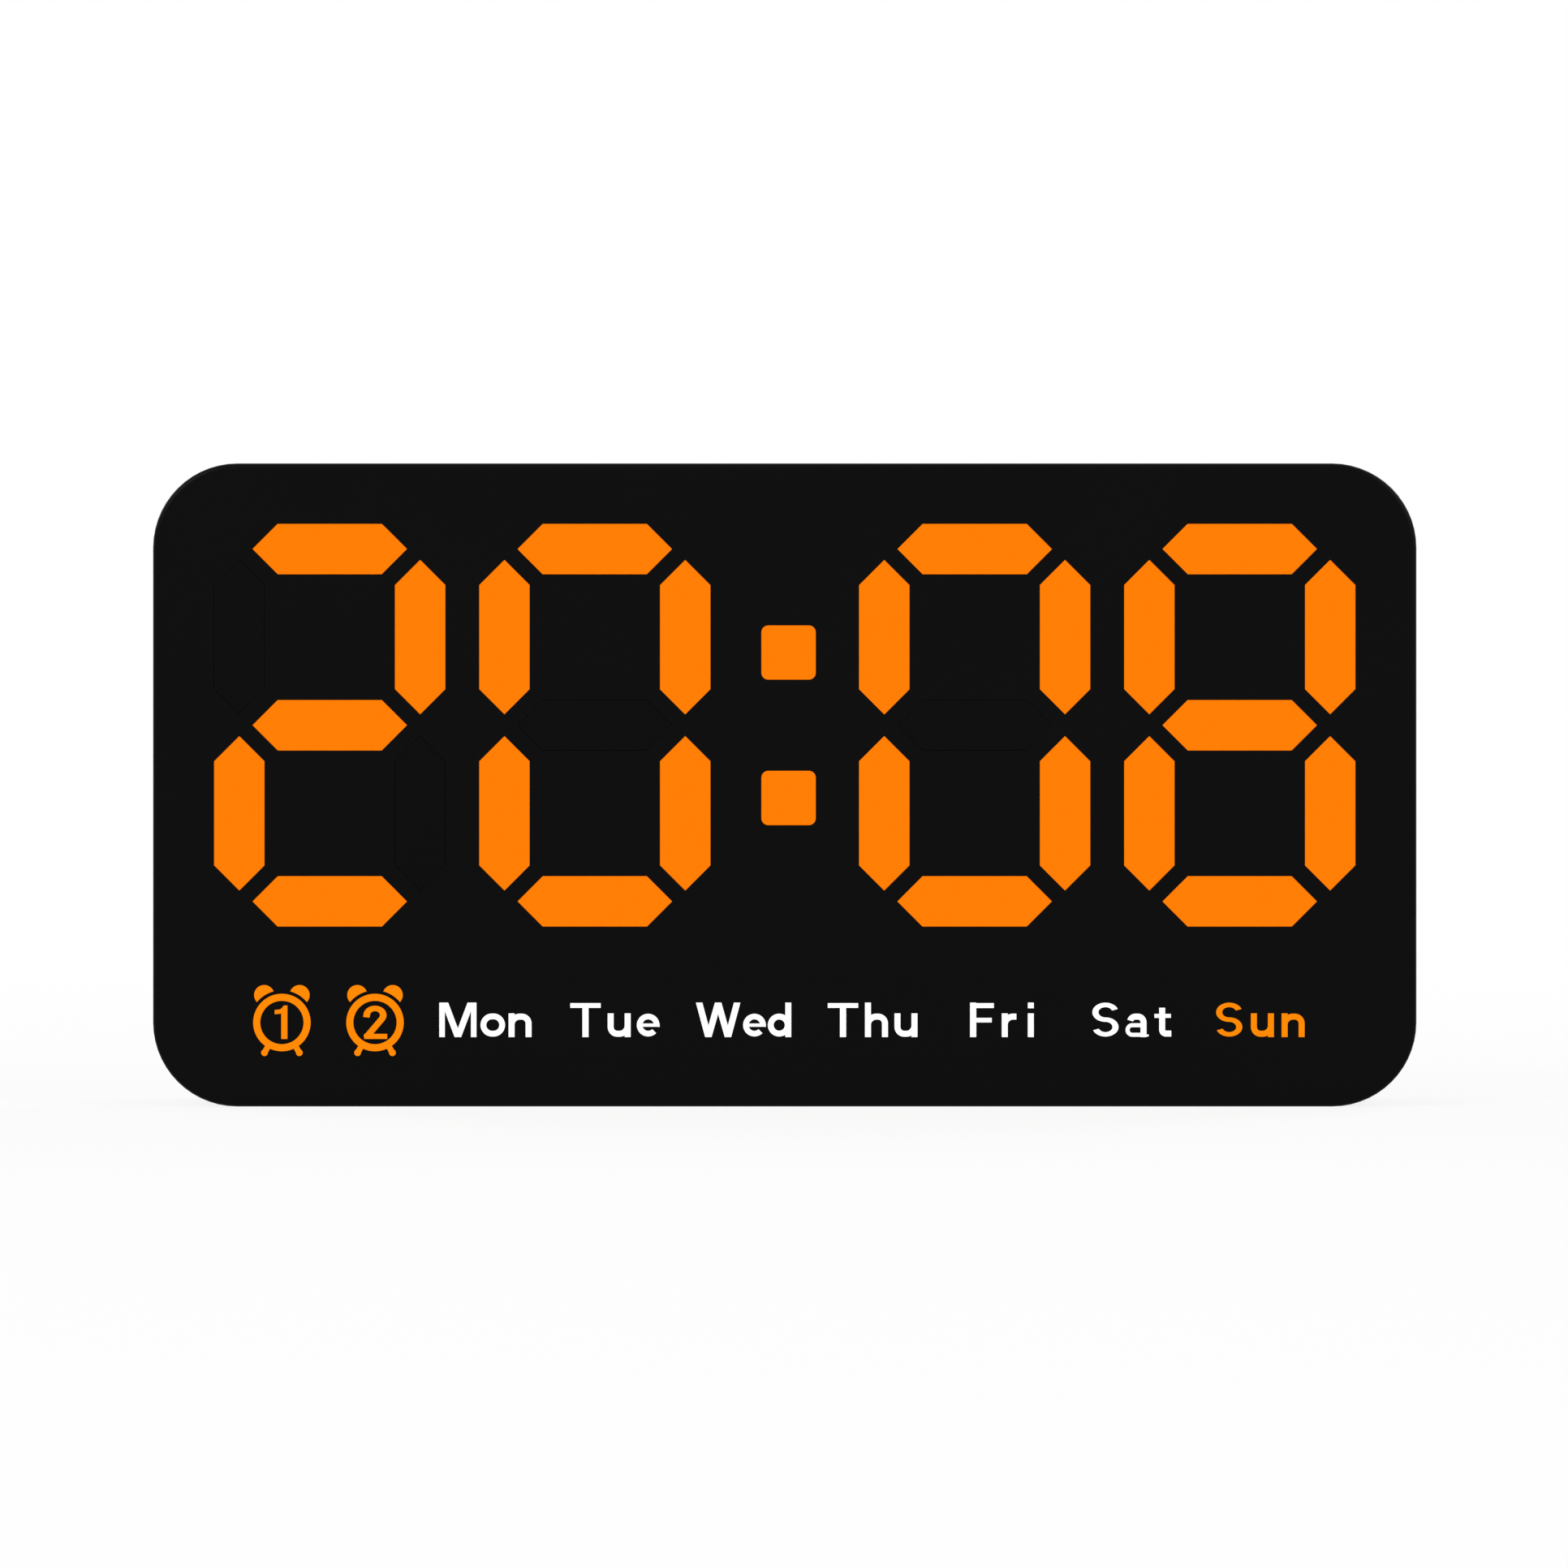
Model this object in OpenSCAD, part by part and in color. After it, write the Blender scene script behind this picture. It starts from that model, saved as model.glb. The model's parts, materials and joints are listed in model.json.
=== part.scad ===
// Digital LED clock for a wall or a table: a black slab with four seven-segment digits,
// a colon and a row of alarm and weekday signs under them.
// Drawn face on (x right, y up, z forward from the wall) and then stood upright, so that
// the face looks along -Y, +Z is up, and the origin is the centre of the back, on the wall.

/* [Case] */
// Width of the case
case_w = 165; // [148:1:185]
// Height of the case
case_h = 84; // [75:1:100]
// Depth of the case, from the wall to the face
case_d = 26; // [23:0.5:32]
// Radius of the corners, seen from the front
corner_r = 11; // [10:0.5:12.5]
// Thickness of the moulded walls
wall = 2; // [1.8:0.1:2.2]
// Radius of the rounded edge round the back
back_edge_r = 4; // [3:0.5:4.5]
// Height of the rear cover's side wall, where the two halves part
parting_z = 10; // [9:0.5:11]
// Height of the lip that lines up the two halves
lip_h = 1.5; // [1:0.1:2]
// Clearance round the lip
lip_gap = 0.1; // [0.05:0.05:0.2]
// Chamfer on the edges at each joint line
seam_chamfer = 0.35; // [0.2:0.05:0.5]

/* [Front panel] */
// Thickness of the front panel
panel_t = 2; // [1.6:0.1:2.5]
// Radius of the panel's front edge
panel_edge_r = 0.7; // [0.4:0.1:1]
// Thickness of the adhesive tape behind the panel
tape_t = 0.15; // [0.1:0.05:0.3]
// Width of the ledge that carries the panel
ledge_w = 5.2; // [4.6:0.1:5.4]
// Thickness of that ledge
ledge_t = 1.6; // [1.2:0.1:2]

/* [Digits] */
// Time shown, one digit each
time_shown = [2, 0, 0, 8]; // [0:1:9]
// Width of a segment
segment_w = 6.6; // [6:0.1:6.8]
// Margin from the case's side to the digits
side_margin = 8; // [7:0.1:9]
// Margin from the case's top to the digits
top_margin = 7.9; // [7:0.1:9]
// Distance from the case's lower edge up to the digits
digit_floor = 23.5; // [22:0.1:25]
// Space between the two pairs of digits, for the colon
colon_space = 19.4; // [17:0.1:22]
// Gap between the two digits of a pair
digit_gap = 4.4; // [3.8:0.1:5.5]
// Gap from a flat segment's tip to the middle of the upright ones
flat_tip_gap = 1.7; // [1.5:0.1:2]
// Gap from an upright segment's tip to the middle of the flat ones
upright_tip_gap = 1.4; // [1.2:0.1:1.8]
// Side of a colon dot
colon_dot = 7.1; // [6.4:0.1:7.4]
// Corner radius of a colon dot
colon_r = 0.9; // [0.5:0.1:1.2]
// Distance between the colon dots
colon_pitch = 19; // [17:0.5:21]
// Sideways place of the colon
colon_x = 0.5; // [0:0.1:1]
// Clearance between a light guide and its window
window_gap = 0.05; // [0.03:0.01:0.1]
// How far a light guide's flange reaches past its window
flange_w = 0.5; // [0.4:0.1:0.6]
// Thickness of that flange
flange_t = 1; // [0.8:0.1:1.4]

/* [Sign row] */
// Height of the sign row's middle over the case's lower edge
sign_floor = 11.3; // [11:0.1:12]
// Distance from the case's left side to the first alarm sign
first_alarm_in = 16.85; // [16:0.05:17.5]
// Distance between the two alarm signs
alarm_pitch = 12.2; // [11:0.05:12.6]
// Distance from the case's left side to the first weekday
first_weekday_in = 43.45; // [43:0.05:45]
// Distance from the case's right side to the last weekday
last_weekday_in = 20.45; // [19:0.05:22]
// Gap between two weekday windows
weekday_gap = 2.85; // [2:0.05:3.5]
// Height of a weekday window
weekday_h = 6.6; // [6:0.2:8]
// Width and height of an alarm window
alarm_window = [8.6, 10]; // [8:0.2:10.2]

/* [Display board] */
// Gap from the case's outline to the board's edge
board_inset = 5.5; // [5.4:0.1:5.8]
// Thickness of the board
board_t = 1.6; // [1.2:0.1:2]
// Gap between the battery bay and the board
board_gap = 1.2; // [1:0.1:1.6]
// Length, width and height of one LED
led_size = [3.5, 2.8, 1.9]; // [1.5:0.1:3.8]
// Distance of a segment's two LEDs from its tips
led_inset = 5.1; // [5:0.1:5.4]
// Radius of the reflector's staked pins
stake_r = 1.2; // [1:0.1:1.3]
// Distance of the staked pins from the digits' top and bottom
stake_inset = 11.3; // [10:0.1:13]

/* [Case screws] */
// Distance of a screw from its corner's axis, along the diagonal
screw_u = 3.9; // [3.7:0.1:4]
// Radius of the screw's head
screw_head_r = 2.45; // [2.2:0.05:2.5]
// Height of the screw's head
screw_head_h = 1.8; // [1.4:0.1:2]
// Radius of the screw's shank
screw_r = 1.25; // [1:0.05:1.3]
// Length of the screw's shank
screw_l = 10; // [8:0.5:12]
// Depth of the hole that the head sits in
head_depth = 4; // [3.5:0.1:4.5]
// Radius of the front shell's screw posts
post_r = 3; // [2.7:0.1:3]

/* [Wall hooks] */
// Distance between the two keyholes
keyhole_pitch = 60; // [56:1:64]
// Distance of the keyholes' round mouths from the case's top
keyhole_fall = 18.5; // [18:0.1:19]
// Radius of the mouth that takes the screw's head
keyhole_r = 4.25; // [4:0.05:4.4]
// Width of the slot that holds the screw's shank
keyhole_slot = 4.6; // [4.2:0.1:5]
// Distance from the mouth up to the slot's end
keyhole_rise = 7; // [6.5:0.1:7.2]
// Depth of the pocket behind the keyhole
keyhole_depth = 5; // [4.6:0.1:5.4]
// Width of that pocket
keyhole_pocket_w = 12.4; // [12:0.2:13]

/* [Battery bay] */
// Diameter of a cell
cell_d = 10.5; // [10:0.1:10.5]
// Length of a cell with its nub
cell_l = 44.5; // [43:0.1:44.5]
// Distance between the cells' axes
cell_pitch = 10.9; // [10.8:0.1:11]
// Distance of the bay's centre from the case's right side
bay_in = 33; // [32.8:0.1:34]
// Distance of the bay's centre from the case's top
bay_fall = 46; // [45.8:0.1:47]
// Length of a contact spring
spring_l = 4.6; // [4.4:0.1:4.8]
// Thickness of the contact plates
contact_t = 0.5; // [0.3:0.1:0.6]
// Thickness of the bay's walls
bay_wall = 1.4; // [1.2:0.1:1.5]
// Thickness of the battery door
door_t = 1.7; // [1.5:0.1:1.8]
// How far the door laps over the bay's edge
door_lap = 1.8; // [1.6:0.1:2]
// Clearance round the door
door_gap = 0.25; // [0.2:0.05:0.35]
// How far the door's tabs reach under the cover
tab_reach = 2; // [1.6:0.1:2.2]

/* [Table stand] */
// Width of the stand's leg
leg_w = 22; // [19:0.5:24.5]
// Height of the hinge's axis
hinge_y = 6; // [4:0.5:7]
// Depth of the hinge's axis behind the back
hinge_z = 3.2; // [3.1:0.1:3.3]
// Height of the leg's free end over the case's lower edge
leg_floor = 5; // [4.8:0.1:8]
// Thickness of the leg
leg_t = 3.2; // [3:0.1:3.3]
// Radius of the leg's hinge barrel
barrel_r = 2.6; // [2.5:0.1:2.7]
// Radius of the hinge pin
pin_r = 1.25; // [1:0.05:1.3]
// Running clearance of the leg on its pin
pin_gap = 0.05; // [0.03:0.01:0.08]
// Clearance between the leg and its well
leg_gap = 0.3; // [0.25:0.05:0.4]

/* [Buttons] */
// Distance of the last button from the case's left side
button_in = 17; // [16:0.5:18]
// Distance between the buttons
button_pitch = 11; // [10:0.1:11.2]
// Height of the row of buttons
button_y = 3; // [2:0.5:4]
// Radius of a button's cap
button_r = 3.4; // [3:0.1:3.6]
// Travel of a button
button_travel = 0.4; // [0.3:0.05:0.5]
// Clearance round a button's cap
button_gap = 0.15; // [0.1:0.05:0.2]
// Depth of the recess that the buttons sit in
button_recess = 1.8; // [1.6:0.1:2]

/* [Sound and power] */
// Distance of the buzzer from the case's left side
buzzer_in = 36.5; // [34:0.5:40]
// Height of the buzzer over the case's lower edge
buzzer_floor = 20; // [18:0.5:22]
// Radius of the buzzer
buzzer_r = 6; // [5:0.5:7]
// Height of the buzzer
buzzer_h = 9.5; // [8:0.5:10]
// Radius of a sound hole
sound_hole_r = 0.9; // [0.7:0.1:1.1]
// Height of the power socket's middle
usb_y = -12; // [-14:0.5:-10]

/* [Hidden] */
// Smoothness, a thin overlap that joins two solids, and how far a cut runs past a surface
$fn = 48;
small = 0.01;
over = 1;
root2 = sqrt(2);

// Colours
black = "#111111";
lit_orange = "#ff7e00";
plastic_black = "#1b1b1c";
white_plastic = "#e9e9e4";
board_green = "#1d5a3a";
chip_black = "#202022";
nickel = "#c9c7bf";
steel = "#8f9194";
cell_wrap = "#3a3d42";

// Layers behind the face
panel_z = case_d - panel_t;
shell_front_z = panel_z - tape_t;
reflector_front = panel_z - flange_t;
tape_inset = 1;
tape_setback = 0.4;

// Corner axes, screws, their tubes in the cover and their posts in the shell
corner_x = case_w / 2 - corner_r;
corner_y = case_h / 2 - corner_r;
screw_x = corner_x + screw_u / root2;
screw_y = corner_y + screw_u / root2;
head_clear = 0.25;
shank_clear = 0.2;
pilot_gap = 0.05;
tube_wall = 1.3;
tube_r = screw_head_r + head_clear + tube_wall;
tube_floor = 2;
tube_end_z = head_depth + tube_floor;
cross_l = screw_head_r * 1.3;
cross_w = 0.7;
cross_d = 1;
rib_w = 1.6;

// Digits, filling the face between their margins
digit_w = (case_w - 2 * side_margin - colon_space - 2 * digit_gap) / 4;
digit_h = case_h - top_margin - digit_floor;
digit_col = digit_w - segment_w;
digit_row = (digit_h - segment_w) / 2;
digit_y = case_h / 2 - top_margin - digit_h / 2;
digit_pitch = digit_w + digit_gap;
inner_digit_x = (colon_space + digit_w) / 2;
digit_x = [for (place = [-1, 0, 0, 1]) place * digit_pitch] + inner_digit_x * [-1, -1, 1, 1];
SEGMENTS = ["a", "b", "c", "d", "e", "f", "g"];
LIT_IN_DIGIT = ["abcdef", "bc", "abdeg", "abcdg", "bcfg", "acdfg", "acdefg", "abc", "abcdefg", "abcdfg"];

// Sign row: each window's middle, and its width and height
sign_y = sign_floor - case_h / 2;
weekday_pitch = (case_w - first_weekday_in - last_weekday_in) / 6;
weekday_w = weekday_pitch - weekday_gap;
sign_windows = concat(
    [for (n = [0, 1]) [first_alarm_in + n * alarm_pitch - case_w / 2, alarm_window]],
    [for (n = [0:6]) [first_weekday_in + n * weekday_pitch - case_w / 2, [weekday_w, weekday_h]]]);
sign_bar_margin = 0.6;
sign_chamber_inset = 0.5;

// Keyholes, and the height at which blocks start inside the back
back_block_z = wall / 2;
keyhole_y = case_h / 2 - keyhole_fall;
keyhole_end_y = keyhole_y + keyhole_rise;
pocket_low_gap = 0.45;
pocket_high_gap = 0.25;
keyhole_pocket_y = [keyhole_y - keyhole_r - pocket_low_gap, keyhole_end_y + keyhole_r + pocket_high_gap];
pocket_wall = 1.2;

// Battery bay, its door with two tabs and a tongue, its contacts and the cells' ends
bay_at = [case_w / 2 - bay_in, case_h / 2 - bay_fall];
cell_clear = 0.3;
cell_lift = 0.2;
bay_l = cell_l + 2 * contact_t + spring_l;
bay_w = 2 * cell_pitch + cell_d + 2 * cell_clear;
door_face_z = 0.1;
door_back_z = door_face_z + door_t;
door_seat_gap = 0.1;
door_seat_z = door_back_z + door_seat_gap;
door_w = bay_l + 2 * door_lap;
door_h = bay_w + 2 * door_lap;
door_r = 2.5;
cell_z = door_seat_z + cell_lift + cell_d / 2;
bay_floor_z = cell_z + cell_d / 2 + cell_lift;
frame_wall = 1.6;
frame_top_wall = 2;
frame_z = 5.6;
tab_w = 6;
tab_t = 1.2;
tab_x = 15;
tab_root = 1.2;
tab_clear = 0.4;
tab_swing = 1.2;
tongue_w = 10;
tongue_l = 7;
tongue_slit = 0.8;
grip_rows = 4;
grip_r = 0.45;
grip_pitch = 1.5;
grip_in = 1.95;
grip_rise = 0.1;
grip_end = 1;
scoop_r = 5;
scoop_d = 1.6;
scoop_rise = 0.8;
scoop_end = 1;
scoop_w = tongue_w + 2 * scoop_end;
tail_w = 3;
tail_slit = 0.2;
plate_side_gap = 0.75;
plate_end_gap = 1;
plate_w = cell_d - 2 * plate_side_gap;
plate_h = cell_d - 2 * plate_end_gap;
nub_r = 1.9;
nub_h = 1.2;
cell_shoulder = 0.6;

// Display board, behind the reflector and in front of the battery bay
board_back = bay_floor_z + bay_wall + board_gap;
board_front = board_back + board_t;
board_w = case_w - 2 * board_inset;
board_h = case_h - 2 * board_inset;
board_clear = 0.4;
board_chamfer = board_w / 2 + board_h / 2 - screw_x - screw_y + (post_r + board_clear) * root2;
stake_x = inner_digit_x + digit_pitch / 2;
stake_rise = digit_h / 2 - stake_inset;
stake_head_h = 0.8;
stake_head_w = 0.8;
stake_head_r = stake_r + stake_head_w;
stake_gap = 0.05;

// Chips and capacitor cans on the back of the board
chip_h = 1.6;
controller_w = 12;
controller_in = 12.5;
driver_w = 8;
driver_l = 10;
driver_in = 7.5;
driver_pitch = 15;
chip_x = -6;
can_r = 3.15;
can_h = 7.7;
can_in = 9;
can_pitch = 8;
can_floor = 10.5;

// Table stand: the leg, its well, and the ears that hold its pin
leg_tip_y = leg_floor - case_h / 2;
leg_face_z = 0.4;
leg_back_z = leg_face_z + leg_t;
leg_corner_r = 4;
leg_rim = 2;
leg_rib = 1.6;
leg_hollow_d = 1.4;
leg_hollow_in = 5;
leg_grip_r = 1.2;
leg_grip_in = 3;
leg_grip_rise = 0.2;
leg_back_gap = 0.4;
leg_floor_z = leg_back_z + leg_back_gap;
barrel_floor_z = hinge_z + barrel_r + leg_gap;
stop_reach = 0.9;
stop_l = barrel_r + stop_reach;
stop_z = 0.8;
stop_gap = 0.5;
well_top_y = hinge_y + stop_l + stop_gap;
well_low_y = leg_tip_y - leg_gap;
well_half_w = leg_w / 2 + leg_gap;
well_wall = 1.6;
ear_l = 3.6;
ear_r = 3;
pin_half_l = well_half_w + ear_l;
pin_seat_gap = 0.02;

// Buttons, from mode to down, and their switches
button_x = [for (n = [3:-1:0]) button_in + n * button_pitch - case_w / 2];
button_face_z = 0.3;
button_inner_z = button_recess + wall;
button_flange_w = 1.2;
button_flange_r = button_r + button_flange_w;
button_flange_t = 1;
button_stem_r = 1.5;
button_edge_r = 0.6;
dish_r = 12;
dish_d = 0.3;
recess_margin = 2.6;
recess_r = 3;
recess_wall = 1.6;
switch_side = 6;
switch_h = 3.5;
plunger_r = 1.7;
plunger_out = 1.5;
plunger_in = 0.6;
plunger_gap = 0.05;
plunger_clear = 0.2;
plunger_top_z = board_back - switch_h - plunger_out;

// Buzzer and its ring of sound holes
buzzer_at = [buzzer_in - case_w / 2, buzzer_floor - case_h / 2];
buzzer_port_r = 1.2;
buzzer_port_d = 2;
sound_ring_r = buzzer_r * 0.6;

// Power socket, its mouth behind an opening in the left wall
usb_w = 8.94;
usb_h = 3.26;
usb_l = 7.35;
usb_skin = 0.3;
usb_back_t = 1;
usb_tongue_w = 6.7;
usb_tongue_t = 0.7;
usb_tongue_l = 5;
usb_mouth_x = wall - case_w / 2;
usb_z = board_back - usb_h / 2;
usb_opening_gap = 0.5;

// Posts of the cover that press on the board, mirrored left and right
high_post_in = 26.5;
high_post_fall = 12;
low_post_x = 24;
low_post_floor = 8.5;
high_post = [case_w / 2 - high_post_in, case_h / 2 - high_post_fall];
low_post = [low_post_x, low_post_floor - case_h / 2];
press_post_r = 2.5;

// Contact springs
spring_wire_r = 0.25;
spring_turns = 3;
spring_base_r = 3.4;
spring_tip_r = 2.2;
spring_ease = 0.08;
spring_rings = 44;
spring_sides = 6;
spring_near_rings = 8;

BUTTONS = ["mode", "set", "up", "down"];
function segment_name(digit, segment) = str("digit", digit + 1, "_segment_", SEGMENTS[segment]);

// Stands the face-on drawing upright
module upright() rotate([90, 0, 0]) children();

// A flat rounded rectangle, centred
module rounded_rect(w, h, r) {
    square([w - 2 * r, h], center = true);
    square([w, h - 2 * r], center = true);
    for (x = [-1, 1]) for (y = [-1, 1]) translate([x * (w / 2 - r), y * (h / 2 - r)]) circle(r);
}

// A slab between two heights
module slab(low_z, high_z) translate([0, 0, low_z]) linear_extrude(high_z - low_z) children();

// A box between two corners
module box(low, high) translate(low) cube(high - low);

// A round bar between two heights
module bar(x, y, low_z, high_z, r) translate([x, y, low_z]) cylinder(r = r, h = high_z - low_z);

// Sweeps a profile round the case's outline. The profile's x is the distance from the corner's
// axis, where the outline is at corner_r, and its y is the height above the wall.
module sweep_outline()
    for (turn = [0:90:270]) {
        across = turn % 180 == 0 ? corner_x : corner_y;
        along = turn % 180 == 0 ? corner_y : corner_x;
        rotate(turn) translate([across, along, 0]) {
            rotate_extrude(angle = 90) children();
            rotate([90, 0, 0]) linear_extrude(2 * along) children();
        }
    }

// The core inside the swept edge
module outline_core(low_z, high_z) slab(low_z, high_z) square([2 * corner_x, 2 * corner_y], center = true);

// A profile's rectangle from one radius to another and between two heights
module profile_band(inner, outer, low_z, high_z)
    translate([inner, low_z]) square([outer - inner, high_z - low_z]);

// The notch that chamfers an outer edge at a joint line
module seam_notch(z) translate([corner_r, z]) rotate(45) square(seam_chamfer * root2, center = true);

// The four screw places
module at_screws() for (x = [-1, 1]) for (y = [-1, 1]) translate([x * screw_x, y * screw_y, 0]) children();

function segment_place(segment) = [
    [0, digit_row], [digit_col / 2, digit_row / 2], [digit_col / 2, -digit_row / 2], [0, -digit_row],
    [-digit_col / 2, -digit_row / 2], [-digit_col / 2, digit_row / 2], [0, 0]][segment];
function is_upright(segment) = len(search(SEGMENTS[segment], "bcef")) > 0;
function is_lit(digit, segment) = len(search(SEGMENTS[segment], LIT_IN_DIGIT[time_shown[digit]])) > 0;
function segment_l(segment) =
    is_upright(segment) ? digit_row - 2 * upright_tip_gap : digit_col - 2 * flat_tip_gap;

module at_segment(digit, segment)
    translate([digit_x[digit], digit_y, 0]) translate(segment_place(segment))
        rotate(is_upright(segment) ? 90 : 0) children();

// A seven-segment bar with pointed ends, in its place and grown by an even margin
module segment_outline(digit, segment, grow) {
    tip = segment_l(segment) / 2 + grow * root2;
    half = segment_w / 2 + grow;
    at_segment(digit, segment)
        polygon([[-tip, 0], [half - tip, half], [tip - half, half],
                 [tip, 0], [tip - half, -half], [half - tip, -half]]);
}

module all_segments() for (digit = [0:3]) for (segment = [0:6]) segment_outline(digit, segment, 0);

module at_colon() for (side = [-1, 1]) translate([colon_x, digit_y + side * colon_pitch / 2, 0]) children();

module colon_outline(grow) rounded_rect(colon_dot + 2 * grow, colon_dot + 2 * grow, colon_r);

module sign_outlines(grow)
    for (sign = sign_windows)
        translate([sign[0], sign_y]) square([sign[1][0] + 2 * grow, sign[1][1] + 2 * grow], center = true);

// The outline of the board and the reflector, with corners cut clear of the screw posts
module board_outline() {
    x = board_w / 2;
    y = board_h / 2;
    c = board_chamfer;
    polygon([[x, y - c], [x - c, y], [c - x, y], [-x, y - c],
             [-x, c - y], [c - x, -y], [x - c, -y], [x, c - y]]);
}

module at_stakes()
    for (x = [-1, 1]) for (y = [-1, 1]) translate([x * stake_x, digit_y + y * stake_rise, 0]) children();

// Front panel: one black sheet over the whole front, with a window for each light guide
module front_panel() color(black) upright() difference() {
    union() {
        sweep_outline() panel_profile();
        outline_core(panel_z, case_d);
    }
    slab(panel_z - over, case_d + over) {
        all_segments();
        at_colon() colon_outline(0);
        sign_outlines(0);
    }
}

module panel_profile() {
    difference() {
        profile_band(0, corner_r, panel_z, case_d);
        profile_band(corner_r - panel_edge_r, corner_r + over, case_d - panel_edge_r, case_d + over);
        seam_notch(panel_z);
    }
    translate([corner_r - panel_edge_r, case_d - panel_edge_r]) circle(panel_edge_r);
}

// One light guide: a smoked bar flush with the face, held behind the panel by its flange
module segment_guide(digit, segment) color(is_lit(digit, segment) ? lit_orange : black) upright() {
    slab(reflector_front, panel_z) segment_outline(digit, segment, flange_w);
    slab(panel_z, case_d) segment_outline(digit, segment, -window_gap);
}

module colon_dots() color(lit_orange) upright() at_colon() {
    slab(reflector_front, panel_z) colon_outline(flange_w);
    slab(panel_z, case_d) colon_outline(-window_gap);
}

// Sign lens: a strip behind the panel with a flush window for each alarm sign and weekday
module sign_lens() color(black) upright() {
    first = sign_windows[0];
    last = sign_windows[len(sign_windows) - 1];
    left = first[0] - first[1][0] / 2 - sign_bar_margin;
    right = last[0] + last[1][0] / 2 + sign_bar_margin;
    half_h = alarm_window[1] / 2 + sign_bar_margin;
    slab(reflector_front, panel_z) translate([left, sign_y - half_h]) square([right - left, 2 * half_h]);
    slab(panel_z, case_d) sign_outlines(-window_gap);
}

// Reflector: a white grid with one light chamber behind each window, staked to the board
module reflector() color(white_plastic) upright() {
    difference() {
        slab(board_front, reflector_front) board_outline();
        slab(board_front - over, reflector_front + over) {
            all_segments();
            at_colon() colon_outline(0);
            sign_outlines(-sign_chamber_inset);
        }
    }
    at_stakes() {
        bar(0, 0, board_back, board_front + over, stake_r);
        bar(0, 0, board_back - stake_head_h, board_back, stake_head_r);
    }
}

module led() translate([-led_size[0] / 2, -led_size[1] / 2, board_front]) cube(led_size);

module segment_leds() color(white_plastic) upright() {
    for (digit = [0:3]) for (segment = [0:6]) for (side = [-1, 1])
        at_segment(digit, segment) translate([side * (segment_l(segment) / 2 - led_inset), 0, 0]) led();
    at_colon() led();
    for (sign = sign_windows) translate([sign[0], sign_y, 0]) led();
}

module circuit_board() color(board_green) upright() slab(board_back, board_front) difference() {
    board_outline();
    at_stakes() circle(stake_r + stake_gap);
}

// Controller and the two LED drivers, on the back of the board
module chips() color(chip_black) upright() {
    chip(board_h / 2 - controller_in, controller_w, controller_w);
    for (row = [0, 1]) chip(driver_in + row * driver_pitch - board_h / 2, driver_w, driver_l);
}

module chip(y, w, l) translate([chip_x, y, board_back - chip_h / 2]) cube([w, l, chip_h], center = true);

module capacitors() color(nickel) upright()
    for (n = [0, 1]) translate([can_in + n * can_pitch - board_w / 2, can_floor - board_h / 2, 0])
        bar(0, 0, board_back - can_h, board_back, can_r);

module buzzer() color(chip_black) upright() translate(buzzer_at) difference() {
    low_z = board_back - buzzer_h;
    bar(0, 0, low_z, board_back, buzzer_r);
    bar(0, 0, low_z - over, low_z + buzzer_port_d, buzzer_port_r);
}

// A flat-sided slot outline with round ends
module stadium(w, h) {
    square([w - h, h], center = true);
    for (x = [-1, 1]) translate([x * (w - h) / 2, 0]) circle(h / 2);
}

// Places a drawing in the left side wall, its x along the wall and its y towards the front
module in_left_wall(x) translate([x, usb_y, usb_z]) rotate([90, 0, 90]) children();

module usb_socket() color(steel) upright() in_left_wall(usb_mouth_x) {
    difference() {
        linear_extrude(usb_l) stadium(usb_w, usb_h);
        translate([0, 0, -usb_back_t]) linear_extrude(usb_l)
            stadium(usb_w - 2 * usb_skin, usb_h - 2 * usb_skin);
    }
    translate([0, 0, usb_l - usb_back_t - usb_tongue_l]) linear_extrude(usb_tongue_l + usb_back_t / 2)
        square([usb_tongue_w, usb_tongue_t], center = true);
}

module switch_bodies() color(chip_black) upright()
    for (x = button_x) translate([x, button_y, 0]) switch_body();

module switch_body() difference() {
    low_z = board_back - switch_h;
    translate([0, 0, low_z + switch_h / 2]) cube([switch_side, switch_side, switch_h], center = true);
    bar(0, 0, low_z - over, low_z + plunger_in + button_travel + plunger_clear, plunger_r + plunger_gap);
}

module switch_plunger(index) color(white_plastic) upright()
    bar(button_x[index], button_y, plunger_top_z, board_back - switch_h + plunger_in, plunger_r);

// Button: a dished cap in the back, a flange that keeps it in, and a stem to its switch
module button(index) color(plastic_black) upright() translate([button_x[index], button_y, 0]) difference() {
    rotate_extrude() {
        profile_band(0, button_r - button_edge_r, button_face_z, button_inner_z);
        profile_band(0, button_r, button_face_z + button_edge_r, button_inner_z);
        translate([button_r - button_edge_r, button_face_z + button_edge_r]) circle(button_edge_r);
        profile_band(0, button_flange_r, button_inner_z, button_inner_z + button_flange_t);
        profile_band(0, button_stem_r, button_inner_z, plunger_top_z);
    }
    translate([0, 0, button_face_z + dish_d - dish_r]) sphere(dish_r);
}

module panel_tape() color(chip_black) upright()
    sweep_outline()
        profile_band(corner_r - ledge_w + tape_setback, corner_r - tape_inset, shell_front_z, panel_z);

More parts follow.
